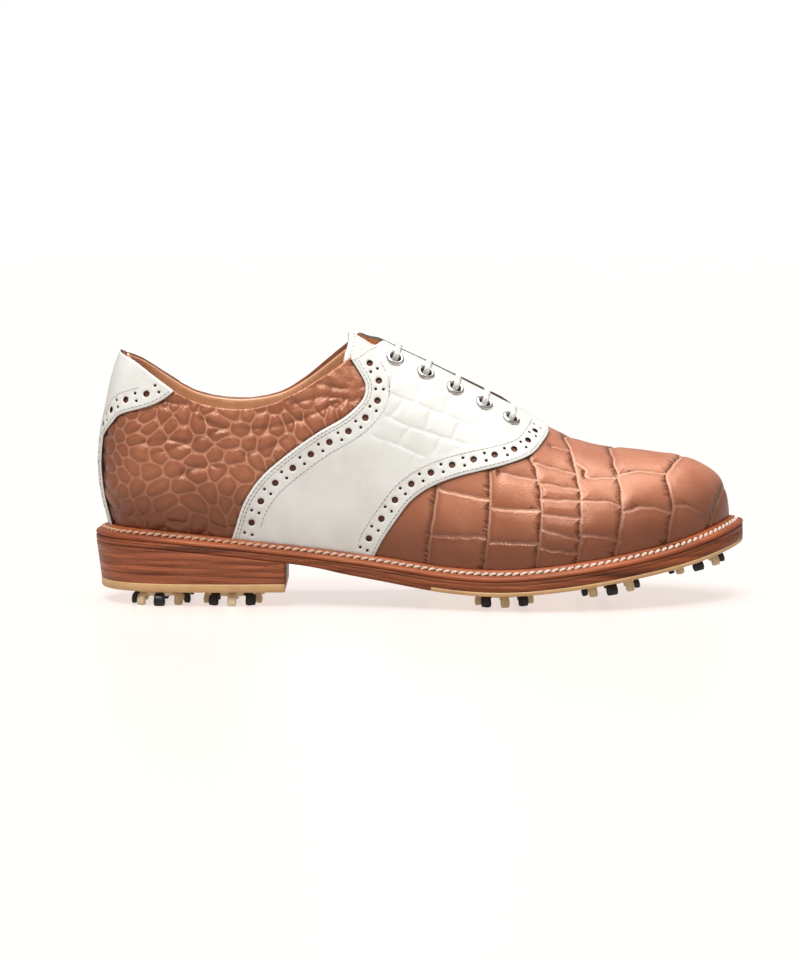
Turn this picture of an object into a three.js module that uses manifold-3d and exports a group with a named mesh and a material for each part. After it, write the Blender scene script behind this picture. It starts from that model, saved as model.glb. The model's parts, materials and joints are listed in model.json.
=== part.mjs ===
// A right-foot saddle golf shoe: welted leather upper, stacked heel and turn-in cleats.
// Millimetres. +X points to the toe, +Y to the inner (medial) side, +Z up.
// The origin is on the ground, under the middle of the shoe.

import * as THREE from "three";
import { mergeVertices } from "three/addons/utils/BufferGeometryUtils.js";
import Module from "manifold-3d";

const wasm = await Module();
wasm.setup();

// ---------- driving dimensions ----------

const WELT_REACH = 7; // how far the welt stands out past the vamp
const LEATHER = 1.2; // upper leather
const LINING = 1;
const LAYER_GAP = 0.3; // air left between two layers of the upper
const SOLE_GAP = 0.15; // air left between two flat layers of the bottom
const STAND_OFF = 0.2; // the upper's lower edge above the welt
const SEAM_HALF = 0.15; // half the gap left where two pieces of the upper meet
const TOPLINE_DROP = 2; // the lining's top edge below the quarters'

const WELT_THICK = 4.8;
const WELT_WIDTH = 16;
const RIB_THICK = 1.3;
const MIDSOLE_SHARE = 0.24; // its share of the bottom below the welt
const SHANK_THICK = 1.6;
const INSOLE_THICK = 2.8;
const SOCK_THICK = 1.1;
const RUBBER_THICK = 1.9; // forepart sole
const RUBBER_START = 4.4; // its rear edge, along X
const HEEL_BREAST = -61.8; // front face of the heel, along X
const HEEL_LIFTS = 4;
const HEEL_TAPER = 2.2; // how far the heel's foot is drawn in
const HEEL_INSET = 0.3; // the heel's top inside the sole's edge
const TOP_LIFT_THICK = 3.8;
const CLEAT_HEIGHT = 6.6;

const STATION_COUNT = 26; // cross-sections along the upper
const ARCH_STEPS = 12; // steps over the foot from edge to edge

// Layers of the upper, each as [outer, inner] depth below the vamp's outer face.
const OVERLAY = [-LAYER_GAP - LEATHER, -LAYER_GAP]; // saddle and heel tab
const OUTER = [0, LEATHER]; // vamp and quarters
const STIFFENER = [1.4, 2.4]; // heel counter and toe puff
const LINER = [2.6, 2.6 + LINING];
const TONGUE = [5.3, 7];
const TONGUE_LINER = [7.3, 8.1];

// Planes well outside the shoe, for cutting shapes that run right through it.
const [X_FAR, Y_FAR, Z_FAR] = [175, 90, 170];

// The sole's edge seen from above, from the heel's back round the outer side to the toe and back.
const SOLE_EDGE = [
  [-150, 0], [-144.5, -17], [-131, -28], [-108, -33.5], [-78, -33.8], [-45, -33],
  [-15, -37], [15, -45.5], [42, -50.6], [65, -51.2], [90, -46.8], [112, -38],
  [130, -26.5], [143, -11.5], [150, 5.5],
  [146.6, 19], [137, 31], [121, 42], [100, 49.2], [75, 51.5], [48, 48.5],
  [20, 40], [-10, 32.5], [-45, 30], [-78, 32.3], [-108, 33.2], [-131, 28], [-144.5, 17],
];
// Height of the welt's top, where the upper meets it.
const SEAT_LINE = [
  [-152, 35.9], [-118, 34.2], [-85, 31], [-50, 27], [-20, 23.2],
  [10, 19.4], [35, 18.4], [60, 20.4], [90, 24.8], [120, 30.8], [152, 40.3],
];
// Thickness of the bottom from the welt's top to the tread.
const BOTTOM_THICK = [
  [-152, 8.1], [-62, 8.1], [-32, 9.9], [0, 11], [32, 11.35], [100, 11.7], [130, 12.5], [152, 13.4],
];
// Ridge of the closed foot shape at the vamp's outer face; behind the opening it is only a guide.
const RIDGE = [
  [-160, 146], [-90, 143], [-45, 135.5], [-10, 116.8], [15, 103.7], [41, 89.8], [60, 78.5],
  [80, 71], [105, 68], [122, 65.2], [134, 59.8], [140.2, 53], [142.6, 45], [143, 38.3],
];
// How far the heel's back leans at each height, and where the ridge runs seen from above.
const BACK_CURVE = [
  [30, 0.5], [36, 0], [50, -3.2], [64, -4.4], [78, -3.2], [92, -0.4], [106, 2.8], [118, 7], [146, 15],
];
const RIDGE_PLAN = [[-152, 0], [-40, 1], [30, 4], [90, 6.5], [152, 5.5]];
// Section shape along X: [x, belly on the outer side, belly on the inner side, belly height, shoulder].
const SECTION_SHAPE = [
  [-152, 0.46, 0.46, 0.42, 0.62], [-60, 0.4, 0.48, 0.42, 0.78], [-10, 0.12, 0.34, 0.36, 0.86],
  [20, 0.06, 0.2, 0.38, 0.72], [60, 0.05, 0.08, 0.46, 0.6], [110, 0.04, 0.05, 0.56, 0.66],
  [152, 0.03, 0.03, 0.6, 0.72],
];

// Pattern lines of the upper seen from the side, as [x, z].
const TOPLINE = [
  [-150, 116.5], [-136, 114], [-128.6, 110.1], [-118.6, 102.9], [-107, 95.4], [-95.3, 91.5],
  [-81.6, 90], [-68, 92.2], [-54.5, 98.4], [-42, 106], [-31.5, 113.2], [-24, 118], [-14, 122.4],
];
const SADDLE_BACK = [
  [-86.2, 28], [-84.3, 35.2], [-80.1, 47.7], [-72.4, 59.1], [-61.1, 69.1], [-47.5, 78.8],
  [-34, 86.7], [-26.4, 94.2], [-25, 100], [-26.2, 103.6], [-28.5, 107.4], [-31.8, 112.6],
];
const SADDLE_TOP = [[-31.8, 112.6], [-28, 114.4], [-23.3, 117.3], [-17.4, 119.5], [-12, 124], [-4, 132]];
const SADDLE_FRONT = [
  [59.4, 80.4], [56.5, 75.4], [50, 69.6], [38, 65.4], [17.9, 60.5], [5, 55.6],
  [-4.5, 48.8], [-11.8, 39.1], [-17.2, 30.8], [-22, 21],
];
const TAB_EDGE = [
  [-110, 99.3], [-116.7, 94.3], [-122.5, 91.5], [-128.8, 89.6], [-134.2, 88.1], [-138.2, 86.2],
  [-141, 83], [-143, 76],
];
const BACK_STRIP_HALF = 9.3;
const COUNTER_AREA = [[-175, 10], [-72, 10], [-78, 40], [-95, 70], [-120, 84], [-175, 88]];
const PUFF_AREA = [[104, 10], [175, 10], [175, 100], [110, 100]];
const UNDERLAP = [[-52, 15], [-8, 135]]; // where vamp and quarters meet under the saddle

// Lacing: the gap between the facings, as [x, half width], and the eyelets as [x, z].
const FACING_GAP = [[-60, 8.5], [-25, 7.5], [10, 6.3], [36, 5.2], [43.5, 4], [46, 1.6]];
const LINING_GAP = [[-60, 22], [-25, 21.5], [10, 21], [38, 20], [48, 16], [52, 6]];
const TONGUE_PLAN = [
  [-30.8, 8], [-31.8, 14], [-34.4, 20], [-33, 23.5], [-26, 24.5], [0, 24], [30, 21], [44, 16], [51, 9],
];
const TONGUE_FLOOR = [[-40, 99], [55, 57]]; // the tongue's side edges, seen from the side
const EYELETS = [[-11.6, 112.3], [2.4, 105.7], [15.8, 98.6], [29.1, 91.8], [41.4, 84.9]];
const EYELET_R = 4.4;
const EYELET_HOLE_R = 2.3;
const EYELET_WALL = 0.45;
const EYELET_RISE = 1.1; // how high its rolled flange stands
const LACE_R = 1;
const LACE_UNDER = 2.95; // depth of the lace's hidden links below the vamp's outer face
const BAR_LEAN = 3; // each bar lies square to the sloping ridge, so its middle is this far forward

// Cross-section of the welt, and the shank seen from above.
const WELT_PROFILE = [
  [WELT_WIDTH, 0], [5.5, 0], [4.9, -0.5], [4.2, -1.9], [2.6, -2.4], [0.8, -3], [0, -3.8],
  [0, -WELT_THICK], [WELT_WIDTH, -WELT_THICK],
];
const STITCH_INSET = 3.4;
const STITCH_RISE = -1.35;
const STITCH_R = 0.5;
const SHANK_PLAN = [[-106, -8], [-60, -9], [-8, -7], [-8, 9], [-60, 10], [-106, 8]];

// Cleats as [name, x, y, turn in degrees about its own axis].
const CLEATS = [
  ["toe", 127, 5, 0],
  ["outer_front", 86, -22, 0], ["inner_front", 86, 27, 0],
  ["outer_ball", 38, -24, 45], ["inner_ball", 38, 23, 45],
  ["heel_outer_front", -86, -15.5, 45], ["heel_inner_front", -86, 15.5, 45],
  ["heel_outer_back", -119, -14.5, 0], ["heel_inner_back", -119, 14.5, 0],
];
const RECEPTACLE_R = 6.5;
const RECEPTACLE_HEIGHT = 4.4;
const RECEPTACLE_FLOOR = 0.5;
const STUD_R = 3;
const STUD_PLAY = 0.3;
const HUB_R = [9.6, 8.8]; // at its top and at its foot
const HUB_THICK = 2;
const CLEAT_R = 13.5;
const CLEAT_LEGS = 8;
const LEG_WIDTHS = [4.4, 3.6]; // black legs, clear legs
// Side view of a leg: distance from the cleat's axis, and height above the tread.
const LEG_OUTLINE = [
  [7, -0.7], [12, -0.9], [CLEAT_R, -2.4],
  [CLEAT_R - 0.6, -CLEAT_HEIGHT], [CLEAT_R - 3.6, -CLEAT_HEIGHT], [8, -2],
];

// ---------- curves ----------

// Points on a smooth line through the given points.
function smoothLine(points, closed = false, perSpan = 10) {
  const knots = points.map(([a, b]) => new THREE.Vector3(a, b, 0));
  const curve = new THREE.CatmullRomCurve3(knots, closed, "catmullrom", 0.5);
  const spans = closed ? points.length : points.length - 1;
  return curve.getPoints(spans * perSpan).map((p) => [p.x, p.y]);
}

// A function of the first coordinate, by straight lines between the points of a line.
function heightOf(line) {
  return (x) => {
    if (x <= line[0][0]) return line[0][1];
    const k = line.findIndex((p) => p[0] >= x);
    if (k < 0) return line[line.length - 1][1];
    const [[x0, z0], [x1, z1]] = [line[k - 1], line[k]];
    return x1 === x0 ? z1 : z0 + ((z1 - z0) * (x - x0)) / (x1 - x0);
  };
}

// The line moved sideways, to the left of its own direction for a positive distance.
function moveSideways(line, distance, closed = false) {
  const last = line.length - 1;
  return line.map((p, i) => {
    const before = line[i > 0 ? i - 1 : closed ? last - 1 : 0];
    const after = line[i < last ? i + 1 : closed ? 1 : last];
    const [dx, dy] = [after[0] - before[0], after[1] - before[1]];
    const length = Math.hypot(dx, dy);
    return [p[0] - (dy / length) * distance, p[1] + (dx / length) * distance];
  });
}

const smoothStep = (low, high, x) => THREE.MathUtils.smoothstep(x, low, high);
const smoothFunction = (points) => heightOf(smoothLine(points));

const seatHeight = smoothFunction(SEAT_LINE);
const bottomThick = smoothFunction(BOTTOM_THICK);
const treadHeight = (x) => seatHeight(x) - bottomThick(x);
const backCurve = smoothFunction(BACK_CURVE);
const ridgeY = smoothFunction(RIDGE_PLAN);
const [outerBelly, innerBelly, bellyHeight, shoulder] = [1, 2, 3, 4].map((column) =>
  smoothFunction(SECTION_SHAPE.map((row) => [row[0], row[column]])),
);
const soleEdge = smoothLine(SOLE_EDGE, true, 12);

// The sole's edge drawn in, as its two sides from heel to toe.
function edgeSides(inset) {
  const line = moveSideways(soleEdge, inset, true).slice(0, -1);
  const xs = line.map((p) => p[0]);
  const heel = xs.indexOf(Math.min(...xs));
  const toe = xs.indexOf(Math.max(...xs));
  const around = (k) => line[(k + line.length) % line.length];
  const outer = [];
  for (let k = heel > toe ? heel - line.length : heel; k <= toe; k++) outer.push(around(k));
  const inner = [];
  for (let k = heel < toe ? heel + line.length : heel; k >= toe; k--) inner.push(around(k));
  return {
    start: line[heel][0],
    end: line[toe][0],
    outer: heightOf(outer),
    inner: heightOf(inner),
  };
}

// ---------- the foot shape ----------

const bezier = (t, a, b, c, d) =>
  (1 - t) ** 3 * a + 3 * (1 - t) ** 2 * t * b + 3 * (1 - t) * t ** 2 * c + t ** 3 * d;

// The surface at a depth below the vamp's outer face. at(x, v) gives a point: v is -1 at the
// outer edge, 0 on the ridge and 1 at the inner edge.
function footSurface(depth) {
  const sides = edgeSides(WELT_REACH + depth);
  const ridge = heightOf(moveSideways(smoothLine(RIDGE), -depth));
  const at = (x, v) => {
    const t = 1 - Math.abs(v);
    const atTip = x <= sides.start + 1e-6 || x >= sides.end - 1e-6;
    const middle = atTip ? sides.outer(x) : ridgeY(x);
    const reach = atTip ? 0 : (v < 0 ? sides.outer(x) : sides.inner(x)) - middle;
    const belly = v < 0 ? outerBelly(x) : innerBelly(x);
    const low = seatHeight(x) + STAND_OFF;
    const high = x >= sides.end - 1e-6 ? low : Math.max(ridge(x), low);
    const y = middle + bezier(t, reach, reach * (1 + belly), reach * shoulder(x), 0);
    const z = bezier(t, low, low + bellyHeight(x) * (high - low), high, high);
    const lean = 1 - smoothStep(-140, -70, x);
    return new THREE.Vector3(x + backCurve(z) * lean, y, z);
  };
  return { start: sides.start, end: sides.end, at };
}

// Where the surface reaches a height, on the outer side (-1) or the inner side (1).
function acrossAt(surface, x, z, side) {
  let [low, high] = [0, 1];
  for (let k = 0; k < 40; k++) {
    const middle = (low + high) / 2;
    if (surface.at(x, side * middle).z > z) low = middle;
    else high = middle;
  }
  return side * low;
}

function normalAt(surface, x, v) {
  const step = 1e-3;
  const along = surface.at(x + 0.1, v).sub(surface.at(x - 0.1, v));
  const across = surface.at(x, v + step).sub(surface.at(x, v - step));
  return along.cross(across).normalize();
}

// ---------- solids ----------

function solidOf(geometry) {
  const bare = new THREE.BufferGeometry().setAttribute("position", geometry.getAttribute("position"));
  if (geometry.index) bare.setIndex(geometry.index);
  const merged = mergeVertices(bare, 1e-4);
  return new wasm.Manifold(
    new wasm.Mesh({
      numProp: 3,
      vertProperties: merged.attributes.position.array,
      triVerts: new Uint32Array(merged.index.array),
    }),
  );
}

// A solid from points and triangles, with points that coincide made one.
function solidOfFaces(points, faces) {
  const known = new Map();
  const kept = [];
  const index = points.map((p) => {
    const key = [p.x, p.y, p.z].map((c) => Math.round(c * 1e4)).join();
    if (!known.has(key)) {
      known.set(key, kept.length / 3);
      kept.push(p.x, p.y, p.z);
    }
    return known.get(key);
  });
  const triangles = faces
    .map((face) => face.map((k) => index[k]))
    .filter(([a, b, c]) => a !== b && b !== c && a !== c);
  return new wasm.Manifold(
    new wasm.Mesh({
      numProp: 3,
      vertProperties: new Float32Array(kept),
      triVerts: new Uint32Array(triangles.flat()),
    }),
  );
}

function geometryOf(solid) {
  const mesh = solid.getMesh();
  const geometry = new THREE.BufferGeometry();
  geometry.setAttribute("position", new THREE.BufferAttribute(mesh.vertProperties, 3));
  geometry.setIndex(new THREE.BufferAttribute(mesh.triVerts, 1));
  geometry.computeVertexNormals();
  return geometry;
}

// A prism across the shoe from an outline seen from the side, as [x, z].
function sidePrism(outline, yLow = -Y_FAR, yHigh = Y_FAR) {
  const shape = new THREE.Shape(outline.map(([x, z]) => new THREE.Vector2(x, z)));
  const prism = new THREE.ExtrudeGeometry(shape, { depth: yHigh - yLow, bevelEnabled: false });
  return solidOf(prism.rotateX(Math.PI / 2).translate(0, yHigh, 0));
}

// A prism up through the shoe from an outline seen from above, as [x, y].
function planPrism(outline, zLow = -20, zHigh = Z_FAR) {
  const shape = new THREE.Shape(outline.map(([x, y]) => new THREE.Vector2(x, y)));
  const prism = new THREE.ExtrudeGeometry(shape, { depth: zHigh - zLow, bevelEnabled: false });
  return solidOf(prism.translate(0, 0, zLow));
}

function block(x0, x1, y0 = -Y_FAR, y1 = Y_FAR, z0 = -20, z1 = Z_FAR) {
  const box = new THREE.BoxGeometry(x1 - x0, y1 - y0, z1 - z0);
  return solidOf(box.translate((x0 + x1) / 2, (y0 + y1) / 2, (z0 + z1) / 2));
}

// A band along the ridge seen from above, from rows of [x, half width].
function ridgeBand(rows) {
  const line = smoothLine(rows, false, 2);
  const outer = line.map(([x, half]) => [x, ridgeY(x) - half]);
  const inner = line.map(([x, half]) => [x, ridgeY(x) + half]);
  return planPrism([...outer, ...inner.reverse()]);
}

// One layer of the upper as a closed shell over the whole foot.
function footShell([outerDepth, innerDepth]) {
  const points = [];
  for (const depth of [outerDepth, innerDepth]) {
    const surface = footSurface(depth);
    const length = surface.end - surface.start;
    for (let i = 0; i <= STATION_COUNT; i++) {
      const x = surface.start + (length * (1 - Math.cos((Math.PI * i) / STATION_COUNT))) / 2;
      for (let j = 0; j <= ARCH_STEPS; j++) points.push(surface.at(x, -1 + (2 * j) / ARCH_STEPS));
    }
  }
  const row = ARCH_STEPS + 1;
  const half = row * (STATION_COUNT + 1);
  const faces = [];
  for (let i = 0; i < STATION_COUNT; i++) {
    const [here, next] = [i * row, (i + 1) * row];
    for (let j = 0; j < ARCH_STEPS; j++) {
      const [a, b, c, d] = [here + j, next + j, next + j + 1, here + j + 1];
      faces.push([a, b, c], [a, c, d]);
      faces.push([a + half, c + half, b + half], [a + half, d + half, c + half]);
    }
    const [a, b] = [here, next];
    faces.push([a, a + half, b + half], [a, b + half, b]);
    const [d, c] = [here + ARCH_STEPS, next + ARCH_STEPS];
    faces.push([d, c, c + half], [d, c + half, d + half]);
  }
  return solidOfFaces(points, faces);
}

// A layer of the bottom: the sole's edge drawn in, between two heights that depend on x.
function soleLayer(topInset, bottomInset, topHeight, bottomHeight, steps = 30) {
  const [top, bottom] = [edgeSides(topInset), edgeSides(bottomInset)];
  const points = [];
  for (let i = 0; i <= steps; i++) {
    const share = (1 - Math.cos((Math.PI * i) / steps)) / 2;
    const xTop = top.start + (top.end - top.start) * share;
    const xBottom = bottom.start + (bottom.end - bottom.start) * share;
    points.push(
      new THREE.Vector3(xTop, top.outer(xTop), topHeight(xTop)),
      new THREE.Vector3(xTop, top.inner(xTop), topHeight(xTop)),
      new THREE.Vector3(xBottom, bottom.inner(xBottom), bottomHeight(xBottom)),
      new THREE.Vector3(xBottom, bottom.outer(xBottom), bottomHeight(xBottom)),
    );
  }
  const faces = [];
  for (let i = 0; i < steps; i++) {
    for (let k = 0; k < 4; k++) {
      const [a, b] = [4 * i + k, 4 * i + ((k + 1) % 4)];
      faces.push([a, a + 4, b + 4], [a, b + 4, b]);
    }
  }
  return solidOfFaces(points, faces);
}

// A ring round the sole's edge. profile gives [inset, height above the seat line].
function edgeRing(profile, perSpan = 2) {
  const rings = profile.map(([inset, rise]) => {
    const line = moveSideways(soleEdge, inset, true).slice(0, -1);
    const step = 12 / perSpan;
    return line
      .filter((p, i) => i % step === 0)
      .map(([x, y]) => new THREE.Vector3(x, y, seatHeight(x) + rise));
  });
  const count = rings[0].length;
  const faces = [];
  for (let i = 0; i < count; i++) {
    const next = (i + 1) % count;
    rings.forEach((ring, k) => {
      const other = (k + 1) % rings.length;
      const [a, b] = [k * count + i, k * count + next];
      const [c, d] = [other * count + next, other * count + i];
      faces.push([a, c, b], [a, d, c]);
    });
  }
  return solidOfFaces(rings.flat(), faces);
}

// ---------- the upper ----------

const aboveTopline = (drop) =>
  sidePrism([
    ...smoothLine(TOPLINE, false, 2).map(([x, z]) => [x, z - drop]),
    [-8, Z_FAR],
    [-X_FAR, Z_FAR],
    [-X_FAR, 112],
  ]);

// Everything behind (-1) or ahead (1) of the line where vamp and quarters meet.
const besideUnderlap = (side) => {
  const [[x0, z0], [x1, z1]] = UNDERLAP;
  const shift = side * SEAM_HALF;
  const far = side * 2 * X_FAR;
  return sidePrism([[x0 + shift, z0], [x1 + shift, z1], [x1 + far, z1 + 60], [x0 + far, z0]]);
};

const saddleArea = () =>
  sidePrism([
    ...smoothLine(SADDLE_BACK, false, 2),
    ...SADDLE_TOP.slice(1),
    [50, 130],
    ...smoothLine(SADDLE_FRONT, false, 2),
    [-40, 10],
    [-86, 10],
  ]);

const tabArea = () =>
  sidePrism([...smoothLine(TAB_EDGE, false, 2), [-X_FAR, 76], [-X_FAR, 150], [-95, 150], [-95, 103]]);

const backStrip = () => block(-X_FAR, -110, -BACK_STRIP_HALF, BACK_STRIP_HALF, 10, 100);

// Bores for the eyelets, through every layer they pass.
const eyeletFrames = [];
const saddleFace = footSurface(OVERLAY[0]);
for (const side of [-1, 1]) {
  EYELETS.forEach(([x, z], k) => {
    const v = acrossAt(saddleFace, x, z, side);
    const out = normalAt(saddleFace, x, v);
    const turn = new THREE.Quaternion().setFromUnitVectors(new THREE.Vector3(0, 0, 1), out);
    const name = `eyelet_${side < 0 ? "outer" : "inner"}_${k + 1}`;
    eyeletFrames.push({ name, at: saddleFace.at(x, v), x, v, out, turn });
  });
}

function eyeletBores() {
  const radius = EYELET_HOLE_R + EYELET_WALL + 0.3;
  return eyeletFrames
    .map(({ at, turn }) => {
      const bore = new THREE.CylinderGeometry(radius, radius, 16, 10).rotateX(Math.PI / 2);
      return solidOf(bore.applyQuaternion(turn).translate(at.x, at.y, at.z));
    })
    .reduce((all, bore) => all.add(bore));
}

function makeUpper() {
  const overlay = footShell(OVERLAY);
  const outer = footShell(OUTER);
  const stiffener = footShell(STIFFENER);
  const liner = footShell(LINER);
  const gap = ridgeBand(FACING_GAP);
  const wideGap = ridgeBand(LINING_GAP);
  const bores = eyeletBores();
  const opening = aboveTopline(0);
  const liningOpening = aboveTopline(TOPLINE_DROP);

  const tab = tabArea().add(backStrip());
  const quarters = outer.intersect(besideUnderlap(-1)).subtract(opening).subtract(gap).subtract(bores);
  const lined = liner.subtract(wideGap);
  const [[x0, z0], [x1, z1]] = TONGUE_FLOOR;
  const overFloor = sidePrism([[x0, z0], [x1, z1], [x1, Z_FAR], [x0, Z_FAR]]);
  const tongueArea = ridgeBand(TONGUE_PLAN).intersect(overFloor);
  return {
    vamp: outer.intersect(besideUnderlap(1)).subtract(gap).subtract(bores),
    quarter_outer: quarters.intersect(block(-X_FAR, X_FAR, -Y_FAR, -SEAM_HALF)),
    quarter_inner: quarters.intersect(block(-X_FAR, X_FAR, SEAM_HALF, Y_FAR)),
    saddle: overlay.intersect(saddleArea()).subtract(gap).subtract(bores),
    heel_tab: overlay.intersect(tab).subtract(opening),
    heel_counter: stiffener.intersect(sidePrism(COUNTER_AREA)),
    toe_puff: stiffener.intersect(sidePrism(PUFF_AREA)),
    vamp_lining: lined.intersect(block(SEAM_HALF, X_FAR)),
    quarter_lining: lined.intersect(block(-X_FAR, -SEAM_HALF)).subtract(liningOpening),
    tongue: footShell(TONGUE).intersect(tongueArea),
    tongue_lining: footShell(TONGUE_LINER).intersect(tongueArea),
  };
}

// ---------- the bottom ----------

const weltBottom = -WELT_THICK;
const midsoleTop = (x) => seatHeight(x) - WELT_THICK - SOLE_GAP;
const midsoleBottom = (x) => midsoleTop(x) - (bottomThick(x) - WELT_THICK) * MIDSOLE_SHARE;
const outsoleTop = (x) => midsoleBottom(x) - SOLE_GAP;
const topLiftHeight = CLEAT_HEIGHT + TOP_LIFT_THICK;

const heelEnd = () => block(-X_FAR, HEEL_BREAST);

// A frame on the tread, with +Z square to it and pointing into the sole.
function treadFrame(x, y, turn) {
  const onHeel = x < HEEL_BREAST;
  const height = onHeel ? CLEAT_HEIGHT : treadHeight(x);
  const slope = onHeel ? 0 : (treadHeight(x + 1) - treadHeight(x - 1)) / 2;
  const frame = new THREE.Group();
  frame.position.set(x, y, height);
  frame.rotation.set(0, -Math.atan(slope), THREE.MathUtils.degToRad(turn), "YXZ");
  frame.updateMatrix();
  return frame;
}

// Room in the bottom for every receptacle, open downwards.
function receptaclePockets() {
  const sides = 12;
  const depth = RECEPTACLE_HEIGHT + SOLE_GAP;
  const radius = (RECEPTACLE_R + 0.1) / Math.cos(Math.PI / sides);
  const below = 5;
  return CLEATS.map(([, x, y]) => {
    const pocket = new THREE.CylinderGeometry(radius, radius, depth + below, sides);
    pocket.rotateX(Math.PI / 2).translate(0, 0, (depth - below) / 2);
    return solidOf(pocket.applyMatrix4(treadFrame(x, y, 0).matrix));
  }).reduce((all, pocket) => all.add(pocket));
}

function makeBottom() {
  const pockets = receptaclePockets();
  const insoleInset = WELT_REACH + LINER[1] + 2 * LAYER_GAP;
  const ribInset = WELT_WIDTH + SOLE_GAP;
  const corkInset = ribInset + RIB_THICK + 3 * SOLE_GAP;
  const rise = (height) => (x) => seatHeight(x) + height;

  const rubberTop = (x) => treadHeight(x) + RUBBER_THICK;
  const rubber = soleLayer(0.2, 0.5, rubberTop, treadHeight, 36);
  const wideRubber = soleLayer(-2, -2, (x) => rubberTop(x) + SOLE_GAP, (x) => treadHeight(x) - 5);
  const rubberRoom = wideRubber.intersect(block(RUBBER_START - SOLE_GAP, X_FAR));

  const shankOutline = smoothLine(SHANK_PLAN, true, 4);
  const shankFloor = weltBottom + 0.1;
  const shankTop = shankFloor + SHANK_THICK;
  const shankRoom = soleLayer(0, 0, rise(shankTop + 0.2), rise(weltBottom - 2)).intersect(
    planPrism(moveSideways(shankOutline, -2, true)),
  );
  const bottom = {
    welt: edgeRing(WELT_PROFILE),
    insole_rib: edgeRing([
      [ribInset + RIB_THICK, -0.1], [ribInset, -0.1],
      [ribInset, weltBottom], [ribInset + RIB_THICK, weltBottom],
    ]),
    cork_filler: soleLayer(corkInset, corkInset, rise(-0.1), rise(weltBottom)).subtract(shankRoom),
    shank: soleLayer(0, 0, rise(shankTop), rise(shankFloor)).intersect(planPrism(shankOutline)),
    insole: soleLayer(insoleInset, insoleInset, rise(INSOLE_THICK), rise(0.3)),
    sock_liner: soleLayer(
      insoleInset, insoleInset, rise(INSOLE_THICK + SOLE_GAP + SOCK_THICK), rise(INSOLE_THICK + SOLE_GAP),
    ),
    midsole: soleLayer(0.2, 0.2, midsoleTop, midsoleBottom),
    outsole: soleLayer(0, 0.3, outsoleTop, treadHeight, 36).subtract(rubberRoom).subtract(pockets),
    forepart_rubber: rubber.intersect(block(RUBBER_START, X_FAR)).subtract(pockets),
    heel_top_lift: soleLayer(HEEL_TAPER + 0.2, HEEL_TAPER + 0.4, () => topLiftHeight, () => CLEAT_HEIGHT)
      .intersect(heelEnd())
      .subtract(pockets),
  };
  const stackHeight = (x, share) =>
    THREE.MathUtils.lerp(treadHeight(x) - SOLE_GAP, topLiftHeight + SOLE_GAP, share);
  for (let k = 0; k < HEEL_LIFTS; k++) {
    const [above, below] = [k / HEEL_LIFTS, (k + 1) / HEEL_LIFTS];
    const gapBelow = k < HEEL_LIFTS - 1 ? SOLE_GAP : 0;
    bottom[`heel_lift_${k + 1}`] = soleLayer(
      HEEL_INSET + HEEL_TAPER * above,
      HEEL_INSET + HEEL_TAPER * below,
      (x) => stackHeight(x, above),
      (x) => stackHeight(x, below) + gapBelow,
    )
      .intersect(heelEnd())
      .subtract(pockets);
  }
  return bottom;
}

// ---------- cleats, eyelets and lace ----------

// A cleat in its own frame: +Z into the sole, the tread at zero.
function cleatSolid() {
  const studTop = RECEPTACLE_HEIGHT - RECEPTACLE_FLOOR - STUD_PLAY;
  const hub = new THREE.CylinderGeometry(...HUB_R, HUB_THICK, CLEAT_LEGS, 1, false, Math.PI / CLEAT_LEGS);
  hub.rotateX(Math.PI / 2).translate(0, 0, -0.3 - HUB_THICK / 2);
  const stud = new THREE.CylinderGeometry(STUD_R, STUD_R, studTop + 1, 8);
  stud.rotateX(Math.PI / 2).translate(0, 0, (studTop - 1) / 2);
  let cleat = solidOf(hub).add(solidOf(stud));
  const leg = new THREE.Shape(LEG_OUTLINE.map(([r, z]) => new THREE.Vector2(r, z)));
  for (let k = 0; k < CLEAT_LEGS; k++) {
    const width = LEG_WIDTHS[k % 2];
    const geometry = new THREE.ExtrudeGeometry(leg, { depth: width, bevelEnabled: false });
    geometry.translate(0, 0, -width / 2).rotateX(Math.PI / 2).rotateZ((2 * Math.PI * k) / CLEAT_LEGS);
    cleat = cleat.add(solidOf(geometry));
  }
  return cleat;
}

// A threaded cup for the stud, moulded into the sole.
function receptacleGeometry() {
  const bore = STUD_R + STUD_PLAY;
  const floor = RECEPTACLE_HEIGHT - RECEPTACLE_FLOOR;
  const profile = [
    [0, RECEPTACLE_HEIGHT], [0, floor], [bore, floor], [bore, 0], [RECEPTACLE_R, 0],
    [RECEPTACLE_R, RECEPTACLE_HEIGHT], [0, RECEPTACLE_HEIGHT],
  ];
  const cup = new THREE.LatheGeometry(profile.map(([r, z]) => new THREE.Vector2(r, z)), 10);
  return cup.rotateX(Math.PI / 2);
}

// An eyelet: a barrel through the facing with a flange over its outer face.
function eyeletGeometry() {
  const foot = OVERLAY[0] - OUTER[1] - 0.3;
  const seat = 0.25;
  const barrel = EYELET_HOLE_R + EYELET_WALL;
  const profile = [
    [EYELET_HOLE_R, foot], [barrel, foot], [barrel, seat], [EYELET_R, seat],
    [EYELET_R - 0.9, EYELET_RISE], [EYELET_HOLE_R, EYELET_RISE - 0.2], [EYELET_HOLE_R, foot],
  ];
  const ring = new THREE.LatheGeometry(profile.map(([r, z]) => new THREE.Vector2(r, z)), 10);
  return ring.rotateX(Math.PI / 2);
}

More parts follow.
